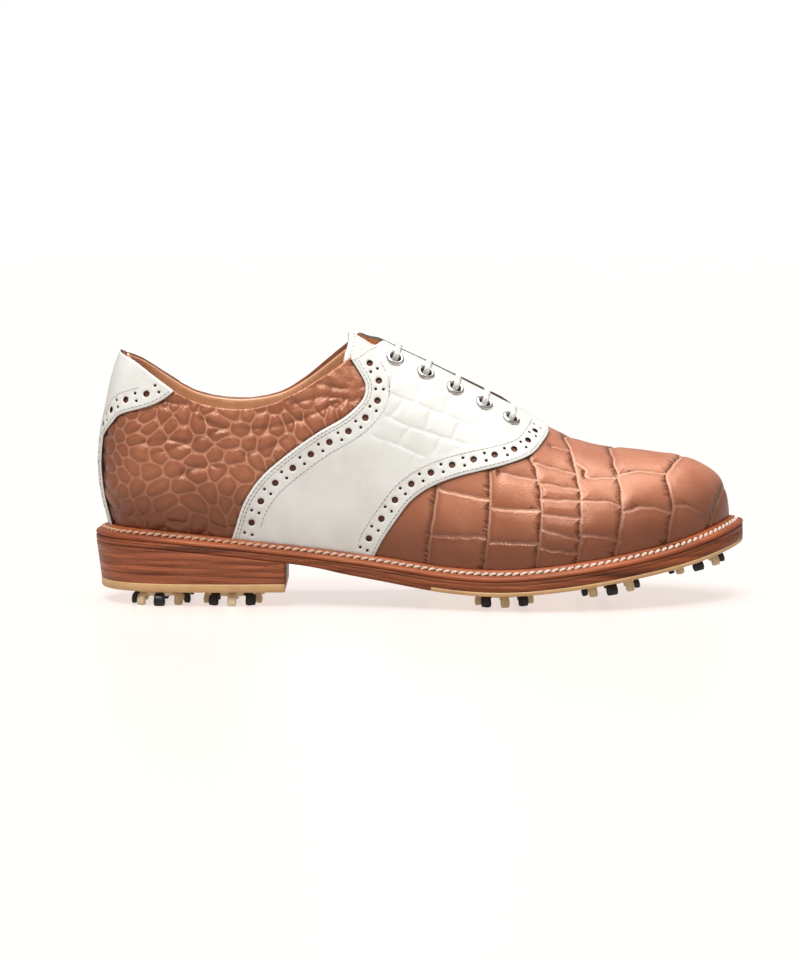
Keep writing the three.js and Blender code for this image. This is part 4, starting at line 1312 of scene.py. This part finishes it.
def make_vamp():
    """The part of the vamp that shows, with a margin under the saddle."""
    front = {o: edge_line(o, "front") for o in (True, False)}
    under = {o: clipped(front[o] - np.array([5.0, 0])) for o in (True, False)}
    for o in (True, False):
        under[o][0] = feather(under[o][0, 0], under[o][0, 0], o, 1)[0]
    crest = [(u_of(52), 0.0)]
    outer_edge = feather(under[True][0, 0], U_END - 0.02, True, 400)
    inner_edge = feather(U_END - 0.02, under[False][0, 0], False, 400)
    outline = joined(under[True][:-1][::-1], outer_edge, inner_edge, under[False][:-1], crest)
    creases = vamp_creases()
    piece = sheet(
        "vamp_leather", RidgeChart, outline, [VAMP_BROWN, DARK_EDGE], (), 0.62, 0, 1.2,
        vamp_relief(creases), creases.points,
    )
    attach(piece, "shoe")
    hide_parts("vamp")


INNER_LIFT = 1.6  # how much higher the inner topline is at its lowest place
INNER_RISE = 6.5  # and where it meets the facing


def topline(outer, drop=0.0):
    """The upper's top edge in heel coordinates, from the back seam forwards."""
    line = smooth_line(TOPLINE, per_span=8)
    if not outer:
        line[:, 1] += INNER_LIFT * np.exp(-(((line[:, 0] + 75) / 30) ** 2))
        line[:, 1] += INNER_RISE * smooth_step(-66, -30, line[:, 0])
    line[:, 1] -= drop * (0.2 + 0.8 * smooth_step(-75, -35, line[:, 0]))
    seam = trace_side([(-139, TOPLINE_BACK - 0.2 * drop)], outer, HeelChart)[0]
    seam[0] = 0
    return joined(seam, trace_side(line, outer, HeelChart))


def make_quarter(outer):
    """One side's quarter, with a margin under the saddle."""
    top = topline(outer)
    behind = HeelChart.pq(clipped(edge_line(outer, "back") + np.array([6.0, 0])))
    behind[0, 1] = 0
    behind = behind[behind[:, 1] < top[-1, 1] - 1.0]
    outline = joined(top, behind[::-1], [0, 0])
    side = "outer" if outer else "inner"
    creases = flank_creases(outline)
    piece = sheet(
        f"quarter_{side}_leather", HeelChart, outline, [QUARTER_BROWN, BROWN_EDGE], (), 0.62, 0, 1.2,
        quarter_relief(creases, outer), creases.points,
    )
    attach(piece, "shoe")
    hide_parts(f"quarter_{side}")


def make_heel_tab():
    """The white heel tab, with its strip down the back seam, and its backing."""
    edges, strips, tops = {}, {}, {}
    for outer in (True, False):
        way = -1 if outer else 1
        top = topline(outer)
        edge = on_overlay(TAB_EDGE, outer, HeelChart, 12)
        edge = edge[edge[:, 1] < np.interp(np.abs(edge[:, 0]), np.abs(top[:, 0]), top[:, 1])]
        edge = edge[np.abs(edge[:, 0]) > BACK_STRIP_HALF + 0.4]
        strips[outer] = np.array([(way * BACK_STRIP_HALF, b) for b in np.linspace(edge[-1, 1] - 7, 0, 40)])
        edges[outer] = joined(smooth_line(joined(edge, strips[outer][:3]), per_span=3), strips[outer][3:])
        tops[outer] = top[np.abs(top[:, 0]) < abs(edges[outer][0, 0]) - 0.3]
    outline = joined(edges[True], edges[False][::-1], tops[False][::-1], tops[True][1:])
    holes = []
    for outer in (True, False):
        way = 1 if outer else -1
        holes += brogue_spots(HeelChart, edges[outer], TAB_HOLES * way, 10.8, 6.0)
        for offset in FRONT_ROWS:
            stitch_beside(HeelChart, edges[outer], offset * way, outline, 0.85 * offset)
    holes = [(spot, r) for spot, r in thin_out(holes) if inside(np.array([spot]), outline)[0]]
    holes = [(spot, r) for spot, r in holes if abs(spot[0]) > 0.8 + r]
    piece = sheet("heel_tab_leather", HeelChart, outline, [WHITE, DARK_EDGE], holes, 0.8, OVERLAY_DEPTH, 1.3)
    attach(piece, "shoe")
    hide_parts("heel_tab")
    backing = sheet("tab_backing", HeelChart, outline, [BACKING, DARK_EDGE], (), 2.5, -0.2, 0.15)
    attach(backing, "shoe")


def stitch_spots(chart, start):
    """Places of the fine stitches on one chart, only where they are inside their own piece."""
    spots = []
    for line_chart, line, outline, clearance in stitch_lines:
        if line_chart is not chart:
            continue
        row = rows_along(chart, line, FINE_PITCH, start, 1.0)
        edge = resample(outline, 0.5, closed=True)
        spots.append(row[inside(row[:, :2], outline) & (nearest(row[:, :2], edge)[1] > clearance)])
    return np.vstack(spots)


def make_stitching():
    """Fine white thread beside every edge, with a dark mark of painted shade for the needle hole between one
    stitch and the next.
    """
    for chart, side in ((RidgeChart, "saddle"), (HeelChart, "heel")):
        threads, gaps = stitch_spots(chart, 1.2), stitch_spots(chart, 1.2 + FINE_PITCH / 2)
        for name, spots, length, radius, sink, material in (
            (f"{side}_stitches", threads, 1.5, 0.26, 0.02, FINE_THREAD),
            (f"{side}_needle_hole_shades", gaps, 0.66, 0.29, 0.1, NEEDLE_HOLE_SHADE),
        ):
            piece = capsules(name, chart, spots, length, radius, OVERLAY_DEPTH + sink, material)
            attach(piece, "shoe")


def lining_front(outer):
    """The lining's front: up inside the saddle's top edge, along the facing, and down the side."""
    top = HeelChart.pq(beside(RidgeChart, saddle_top[outer], -0.9 if outer else 0.9))
    edge = HeelChart.pq(facing[outer])
    edge = edge[np.abs(edge[:, 0]) < u_of(0.0)]
    return joined(top, edge, trace_side([(0.5, 92), (0.5, 60), (0.5, 24)], outer, HeelChart))


def make_linings():
    """The quarters' lining, seen inside the opening, with a rolled top edge."""
    for outer in (True, False):
        top = topline(outer, 2.0)
        ahead = lining_front(outer)
        outline = joined(top, ahead, [ahead[-1, 0], 0], [0, 0])
        side = "outer" if outer else "inner"
        piece = sheet(
            f"quarter_lining_{side}", HeelChart, outline, [TAN, TAN], (), 1.4, LINING_DEPTH, 1.3, inward=True,
        )
        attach(piece, "shoe")
    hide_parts("quarter_lining")


def make_tongue():
    """The tongue's leather and its lining, as one padded flap under the lacing."""
    half = {o: trace_plan(smooth_line(TONGUE_OUTLINE, per_span=5), o) for o in (True, False)}
    outline = joined(half[True], half[False][::-1])
    top = sheet("tongue_leather", RidgeChart, outline, [WHITE, WHITE], (), 1.3, TONGUE_DEPTH, 1.6)
    inset = move_left(outline, 1.4)
    low = sheet("tongue_lining_leather", RidgeChart, inset, [TAN, TAN], (), 2.0, 8.1, 1.1, inward=True)
    row = beside(RidgeChart, outline, 2.6)
    row = row[(row[:, 0] < u_of(-20)) & inside(row, outline)]
    spots = rows_along(RidgeChart, row[np.argsort(row[:, 1])], 1.4 * FINE_PITCH, 1, 1)
    # the tongue's stitch row is drawn as dark needle holes in painted shade
    stitches = capsules("tongue_stitches", RidgeChart, spots, 0.9, 0.24, TONGUE_DEPTH + 0.1, NEEDLE_HOLE_SHADE)
    for piece in (top, low, stitches):
        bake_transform(piece)
    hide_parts("tongue")
    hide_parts("tongue_lining")


# ---------- eyelets and lace ----------


def eyelet_frames():
    """Centre, outward normal and (u, s) of each eyelet on the saddle's face, by node name."""
    frames = {}
    for outer in (True, False):
        spots = eyelet_spots(outer)
        normal = normals(RidgeChart, spots)
        centre = surface(RidgeChart, spots) - normal * OVERLAY_DEPTH
        for k in range(len(EYELETS)):
            name = f"eyelet_{'outer' if outer else 'inner'}_{k + 1}"
            frames[name] = (centre[k], normal[k], spots[k])
    return frames


# The eyelet's section: (radius, height over the facing).
EYELET_PROFILE = [
    (EYELET_HOLE_R, -2.6), (2.28, -0.6), (2.42, 0.4), (2.9, 1.0),
    (3.45, 1.05), (4.0, 0.66), (EYELET_R, 0.1), (4.25, -0.15),
]


def make_eyelets(frames):
    """Rolled nickel rings."""
    profile = smooth_line(EYELET_PROFILE, per_span=4)
    angle = full_turn(40)
    for name, (centre, normal, _) in frames.items():
        across = unit(np.cross(normal, (0, 0, 1.0)))
        up = np.cross(normal, across)
        rings = [
            centre + normal * h + r * (np.cos(angle)[:, None] * across + np.sin(angle)[:, None] * up)
            for r, h in profile
        ]
        piece = loft(name + "_ring", rings[::-1], [NICKEL])
        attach(piece, "shoe")
        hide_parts(name)


LACE_HALF_WIDE = 1.4
LACE_HALF_THICK = 0.66
LACE_LEAN = 2.6  # how far a bar's middle lies towards the toe
# The lace from under the facing to the gap's middle: (share of the way out from the middle,
# height over the saddle's face, how far towards the toe).
LACE_RISE = [(1, -4.6, 0), (1, -1.2, 0), (0.93, 1.45, 0.3)]
LACE_BAR = [
    (share, height, LACE_LEAN * (1 - share))
    for share, height in ((0.72, 0.8), (0.5, 0.55), (0.25, -0.4))
]
LACE_MIDDLE = (0, -0.75, LACE_LEAN)


def lace_path(frames):
    """The lace's points and outward directions: straight bars, with links under the facings between."""
    path, way_up = [], []
    for k in range(len(EYELETS)):
        first, second = (frames[f"eyelet_{side}_{k + 1}"][2] for side in ("outer", "inner"))
        if k % 2:
            first, second = second, first
        climb = [(first, place) for place in LACE_RISE + LACE_BAR + [LACE_MIDDLE]]
        descent = [(second, place) for place in (LACE_RISE + LACE_BAR)[::-1]]
        for eyelet, (share, height, toward) in climb + descent:
            spot = np.array([[eyelet[0] + toward, eyelet[1] * share]])
            normal = normals(RidgeChart, spot)[0]
            path.append(surface(RidgeChart, spot)[0] + normal * (height - OVERLAY_DEPTH))
            way_up.append(normal)
    return smooth_line(path, per_span=9), smooth_line(way_up, per_span=9)


def make_lace(frames):
    """A flat braided lace swept along its path."""
    line, ups = lace_path(frames)
    along = unit(np.gradient(line, axis=0))
    across = unit(np.cross(ups, along))
    up = np.cross(along, across)
    angle = full_turn(16)
    rings = []
    for c, a, n, at in zip(line, across, up, distance_along(line)):
        braid = 1 + 0.05 * np.sin(angle * 4 + at * 5.0) + 0.04 * np.sin(angle * 4 - at * 5.0)
        wide = np.outer(np.cos(angle) * LACE_HALF_WIDE * braid, a)
        thick = np.outer(np.sin(angle) * LACE_HALF_THICK * braid, n)
        rings.append(c + wide + thick)
    piece = loft("lace_cord", rings, [LACE], caps=True)
    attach(piece, "shoe")
    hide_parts("lace")


# ---------- the bottom ----------


def slab(name, profile, materials, x_from=None, x_to=None, steps=220):
    """A layer of the bottom. profile lists (inset, height function) down its edge.

    Its places lie closer where an end is round, and evenly spread at an end that is cut square.
    """
    share = (1 - np.cos(np.linspace(0, math.pi, steps + 1))) / 2
    if x_to is not None:
        share = 1 - np.cos(np.linspace(0, math.pi / 2, steps + 1))
    if x_from is not None:
        share = np.sin(np.linspace(0, math.pi / 2, steps + 1))
    outer, inner = [], []
    for inset, height in profile:
        side = EdgeSides(inset)
        low = side.start if x_from is None else x_from
        high = side.end if x_to is None else x_to
        x = low + (high - low) * share
        z = height(x)
        outer.append(np.stack([x, side.outer(x), z], 1))
        inner.append(np.stack([x, side.inner(x), z], 1))
    rings = np.array(outer + inner[::-1]).transpose(1, 0, 2)
    count = rings.shape[1]
    index = [1 if j in (count // 2 - 1, count - 1) else 0 for j in range(count)] * steps
    return loft(name, rings[:, ::-1], materials, caps=True, indices=index + [0, 0])


def midsole_top(x):
    return seat_height(x) - WELT_THICK - SOLE_GAP


def midsole_bottom(x):
    return midsole_top(x) - (bottom_thick(x) - WELT_THICK) * MIDSOLE_SHARE


def above_tread(rise):
    return lambda x: tread_height(x) + rise


def level(height):
    return lambda x: np.full(len(x), height)


# The welt's section: (inset from the sole's edge, height over the seat line).
WELT_PROFILE = [
    (15, 0), (6.6, 0.05), (5.8, 0), (5.2, -0.3), (4.75, -0.9), (4.4, -1.6), (4.2, -2.2), (3.6, -2.45),
    (3.0, -2.4), (2.65, -2.1), (2.2, -2.12), (1.4, -2.45), (0.75, -2.9), (0.3, -3.4), (0.08, -4.0),
    (0.2, -4.5), (0.7, -WELT_THICK), (15, -WELT_THICK),
]


def make_welt():
    """The welt, with the groove for its stitches, swept round the sole's edge."""
    even = resample(sole_line, 1.0, closed=True)
    lines = [(move_left(even, inset), rise) for inset, rise in WELT_PROFILE]
    rings = [np.column_stack([line, seat_height(line[:, 0]) + rise]) for line, rise in lines]
    rings = round_trip(np.array(rings).transpose(1, 0, 2))
    welt = loft("welt_strip", rings[:, ::-1], [WELT])
    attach(welt, "shoe")
    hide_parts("welt")


def make_soles():
    """Midsole and outsole, which is thin leather under the waist and rubber under the forepart."""
    midsole = slab(
        "midsole_edge",
        [
            (0.6, midsole_top), (0.3, lambda x: midsole_top(x) - 0.2),
            (0.25, lambda x: midsole_bottom(x) + 0.1), (0.36, midsole_bottom),
        ],
        [SOLE, SOLE],
    )
    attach(midsole, "shoe")
    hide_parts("midsole")
    outsole = slab(
        "outsole_edge",
        [
            (0.36, lambda x: midsole_bottom(x) - 0.05), (0.24, lambda x: midsole_bottom(x) - 0.16),
            (0.15, above_tread(2.6)), (0.2, above_tread(2.1)), (0.36, above_tread(1.92)),
        ],
        [SOLE, SOLE],
    )
    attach(outsole, "shoe")
    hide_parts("outsole")
    waist = slab(
        "outsole_waist",
        [(0.5, above_tread(2.1)), (0.2, above_tread(1.6)), (0.3, above_tread(0.5)), (0.9, above_tread(0))],
        [SOLE, SOLE], None, RUBBER_START, 140,
    )
    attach(waist, "shoe")
    rubber = slab(
        "forepart_rubber_sheet",
        [
            (0.35, above_tread(RUBBER_THICK)), (0.2, above_tread(1.5)), (0.25, above_tread(0.6)),
            (0.8, above_tread(0)),
        ],
        [RUBBER, RUBBER], RUBBER_START + 0.1, None, 160,
    )
    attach(rubber, "shoe")
    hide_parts("forepart_rubber")


def stack_height(share):
    """A level of the heel stack: 0 under the sole, 1 on the top lift."""
    return lambda x: (tread_height(x) - 0.05) * (1 - share) + (TOP_LIFT + 0.05) * share


def make_heel():
    """The stacked lifts, and the rubber lift that they stand on."""
    for k in range(HEEL_LIFTS):
        top, low = k / HEEL_LIFTS, (k + 1) / HEEL_LIFTS
        profile = [
            (0.4 + HEEL_TAPER * top, stack_height(top)),
            (0.3 + HEEL_TAPER * top, stack_height(top * 0.95 + low * 0.05)),
            (0.3 + HEEL_TAPER * low, stack_height(top * 0.05 + low * 0.95)),
            (0.4 + HEEL_TAPER * low, stack_height(low)),
        ]
        piece = slab(f"heel_stack_{k + 1}", profile, [LIFT, LIFT], None, HEEL_BREAST, 90)
        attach(piece, "shoe")
        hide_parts(f"heel_lift_{k + 1}")
    inset = HEEL_TAPER + 0.35
    profile = [
        (inset, level(TOP_LIFT)), (inset - 0.15, level(TOP_LIFT - 0.4)),
        (inset, level(CLEAT_HEIGHT + 0.7)), (inset + 0.5, level(CLEAT_HEIGHT)),
    ]
    lift = slab("top_lift_rubber", profile, [RUBBER, RUBBER], None, HEEL_BREAST, 90)
    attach(lift, "shoe")
    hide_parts("heel_top_lift")


STITCH_PITCH = 3.5
STITCH_INSET = 3.5
STITCH_RISE = -1.75
STITCH_TURN = 0.42  # how far each stitch lies across the seam, in radians
# Half widths along a stitch: (distance from its middle, share of the full width).
STITCH_SHAPE = [(-1.85, 0.12), (-1.5, 0.6), (-0.8, 0.93), (0, 1.0), (0.8, 0.93), (1.5, 0.6), (1.85, 0.12)]


def make_welt_stitches():
    """The outsole lockstitch: slanted cream stitches lying in the welt's groove."""
    line = round_trip(move_left(resample(sole_line, 0.6, closed=True), STITCH_INSET))
    line = np.column_stack([line, seat_height(line[:, 0]) + STITCH_RISE])
    at = distance_along(line)
    count = int(at[-1] / STITCH_PITCH)
    angle = full_turn(8)
    sets = []
    for k in range(count):
        centre, ahead = (
            np.array([np.interp(a, at, line[:, i]) for i in range(3)])
            for a in (k * at[-1] / count, k * at[-1] / count + 0.5)
        )
        along = unit(ahead - centre)
        inward = np.cross((0, 0, 1.0), along)
        face = unit(np.cross(along, inward) - 0.75 * inward)
        slant = along * math.cos(STITCH_TURN) + np.cross(face, along) * math.sin(STITCH_TURN)
        across = np.cross(face, slant)
        rings = [
            centre + slant * d + face * 0.4 * (1 - (d / 1.9) ** 2)
            + np.outer(np.cos(angle) * r * 0.82, across) + np.outer(np.sin(angle) * r * 0.55, face)
            for d, r in STITCH_SHAPE
        ]
        sets.append(np.array(rings))
    points, faces = mesh_of_rings(sets)
    piece = new_object("welt_stitches", points, faces, [CREAM])
    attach(piece, "shoe")
    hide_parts("welt_stitching")


# ---------- cleats ----------

# Outlines as (radius, height), with the sole at zero height.
LEG_SPINE = [(5.5, -1.5), (8.6, -1.5), (10.9, -1.9), (11.9, -3.2), (12, -5.2), (11.9, 0.1 - CLEAT_HEIGHT)]
LEG_CORNERS = [(-1, -0.5), (-0.7, -1), (0.7, -1), (1, -0.5), (1, 0.5), (0.7, 1), (-0.7, 1), (-1, 0.5)]
HUB_PROFILE = [
    (0.6, -3.1), (2.6, -3.1), (3.1, -2.6), (7.4, -2.5), (8.9, -2.1), (9.4, -1.3), (9.2, -0.35), (0.6, -0.3),
]
CLEAR_RING_PROFILE = [(7.6, -2.75), (9.6, -2.35), (10.1, -1.4), (9.9, -0.5), (7.6, -0.45)]
CLEAT_LEGS = 8
LEG_WIDTHS = (5.4, 4.2)  # black and clear
TURNED_CLEATS = ("cleat_outer_ball", "cleat_inner_ball", "cleat_heel_outer_front", "cleat_heel_inner_front")


def cleat_leg(angle, wide):
    """One paddle-shaped leg: a web from the hub that turns down into a thick foot."""
    spine = smooth_line(LEG_SPINE, per_span=4)
    share = np.linspace(0, 1, len(spine))
    width = np.interp(share, [0, 0.4, 0.75, 1], [wide * 0.7, wide * 0.85, wide, wide * 0.86])
    thick = np.interp(share, [0, 0.35, 0.6, 0.8, 1], [1.5, 1.6, 2.6, 3.0, 2.5])
    along = unit(np.gradient(spine, axis=0))
    out = np.array([math.cos(angle), math.sin(angle), 0])
    side = np.array([-math.sin(angle), math.cos(angle), 0])
    up = np.array([0, 0, 1.0])
    rings = []
    for (r, z), (dr, dz), w, h in zip(spine, along, width, thick):
        normal = -dz * out + dr * up
        centre = r * out + z * up
        rings.append([centre + side * a * w / 2 + normal * b * h / 2 for a, b in LEG_CORNERS])
    return np.array(rings)


def lathe_rings(profile, count=40):
    """A profile of (radius, height) turned about the upright axis."""
    angle = full_turn(count)
    rings = [np.stack([r * np.cos(angle), r * np.sin(angle), np.full(count, z)], 1) for r, z in profile]
    return np.array(rings)


def make_cleats():
    """Nine cleats: a black hub with four black and four clear legs in turn."""
    legs = [cleat_leg(2 * math.pi / CLEAT_LEGS * k, LEG_WIDTHS[k % 2]) for k in range(CLEAT_LEGS)]
    halves = (
        ("black", [lathe_rings(HUB_PROFILE), *legs[::2]], BLACK),
        ("clear", [lathe_rings(CLEAR_RING_PROFILE), *legs[1::2]], CLEAR),
    )
    for joint in frame["joints"]:
        body = joint["child"]
        if not body.startswith("cleat_"):
            continue
        up = -unit(np.array(joint["axis"], float))
        ahead = np.cross((0, 1.0, 0), up)
        turn = math.radians(45 if body in TURNED_CLEATS else 0)
        basis = np.stack([ahead, np.cross(up, ahead), up], 1)
        spin = np.array([
            [math.cos(turn), -math.sin(turn), 0], [math.sin(turn), math.cos(turn), 0], [0, 0, 1.0],
        ])
        centre = np.array(joint["pos_m"]) / MM
        for half, rings, material in halves:
            points, faces = mesh_of_rings(rings)
            piece = new_object(f"{body}_{half}", centre + points @ spin.T @ basis.T, faces, [material])
            edges = piece.modifiers.new("soft_edges", "BEVEL")
            edges.width, edges.segments, edges.limit_method = 0.00025, 2, "ANGLE"
            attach(piece, body)
            if half == "black":
                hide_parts(body)


# ---------- kept CAD pieces ----------


def finish_cad_nodes():
    """Materials for the hidden pieces, which stay as the CAD has them."""
    finishes = {
        "vamp_lining": TAN, "sock_liner": SOCK, "heel_counter": BOARD, "toe_puff": BOARD, "insole": BOARD,
        "insole_rib": BOARD, "cork_filler": CORK, "shank": STEEL,
    }
    for name, node in frame["nodes"].items():
        material = finishes.get(name, BLACK if name.startswith("receptacle") else None)
        if material is None:
            continue
        node.data.materials.clear()
        node.data.materials.append(material)


# ---------- stage, light and camera ----------


FLOOR_HALF = 6000
FLOOR_SHINE = 0.42  # how strongly the floor glows up at the shoe
FLOOR_SEEN = 0.7  # and as it is seen
ROOM_DIFFUSE = 0.15  # how brightly the white room lights things, and shows in their gloss
ROOM_GLOSSY = 0.36


def make_stage():
    """A pale floor that glows a little, like a light table, so that shadows on it stay light."""
    corners = [(x * FLOOR_HALF, y * FLOOR_HALF, 0) for x, y in ((-1, -1), (1, -1), (1, 1), (-1, 1))]
    floor = new_object("floor", corners, [(0, 1, 2, 3)], [])
    n = Nodes("floor_white")
    grain = n.noise(30, 3)
    color = n.mix(n.band(grain, 0.3, 0.7), rgb(138, 134, 131), rgb(136, 132, 130))
    rough = n.band(grain, 0.3, 0.7, 0.3, 0.34)
    white = n.finish(color, rough, Specular_IOR_Level=0.3, Emission_Color=rgb(255, 242, 236))
    floor.data.materials.append(white)
    seen = n.add("ShaderNodeLightPath").outputs["Is Camera Ray"]
    n.put(n.band(seen, 0.0, 1.0, FLOOR_SHINE, FLOOR_SEEN), n.shader.inputs["Emission Strength"])


def soft_sun(name, way, angle, strength):
    """A far, wide soft light that shines along a direction."""
    data = bpy.data.lights.new(name, "SUN")
    data.angle = math.radians(angle)
    data.energy = strength
    light = bpy.data.objects.new(name, data)
    light.rotation_euler = Vector(way).to_track_quat("-Z", "Y").to_euler()
    bpy.context.scene.collection.objects.link(light)


def make_lights():
    """Two wide soft lights from above, and a white room that is seen brighter than it shines."""
    world = bpy.data.worlds.new("studio")
    bpy.context.scene.world = world
    world.use_nodes = True
    background = world.node_tree.nodes["Background"]
    background.inputs["Color"].default_value = (1, 1, 1, 1)
    nodes, links = world.node_tree.nodes, world.node_tree.links
    path = nodes.new("ShaderNodeLightPath")
    product = nodes.new("ShaderNodeMath")
    product.operation = "MULTIPLY"
    for k, (ray, share) in enumerate((("Is Diffuse Ray", ROOM_DIFFUSE), ("Is Glossy Ray", ROOM_GLOSSY))):
        strength = nodes.new("ShaderNodeMapRange")
        strength.inputs["To Min"].default_value = 1.0
        strength.inputs["To Max"].default_value = share
        links.new(path.outputs[ray], strength.inputs["Value"])
        links.new(strength.outputs["Result"], product.inputs[k])
    links.new(product.outputs[0], background.inputs["Strength"])
    soft_sun("top_light", (0.03, 0.02, -1), 60, 3.2)
    soft_sun("key_light", (0.12, 0.62, -1), 22, 2.3)
    scene = bpy.context.scene
    scene.view_settings.view_transform = "Standard"
    scene.view_settings.look = "None"


def make_camera():
    """The photograph's view: square to the outer side, from a little above."""
    distance, height, tilt = 1.5, 0.2, math.radians(5.52)
    aside = -0.0094  # puts the shoe a little right of the middle
    data = bpy.data.cameras.new("camera")
    data.sensor_width = 36
    data.lens = 122.3
    data.clip_start, data.clip_end = 0.05, 50
    camera = bpy.data.objects.new("camera", data)
    camera.location = (aside, -distance, height)
    camera.rotation_euler = (math.pi / 2 - tilt, 0, 0)
    bpy.context.scene.collection.objects.link(camera)
    bpy.context.scene.camera = camera


make_camera()
make_stage()
make_lights()
make_saddle()
make_vamp()
make_quarter(True)
make_quarter(False)
make_heel_tab()
make_stitching()
make_linings()
make_tongue()
eyelets = eyelet_frames()
make_eyelets(eyelets)
make_lace(eyelets)
make_welt()
make_soles()
make_heel()
make_welt_stitches()
make_cleats()
finish_cad_nodes()
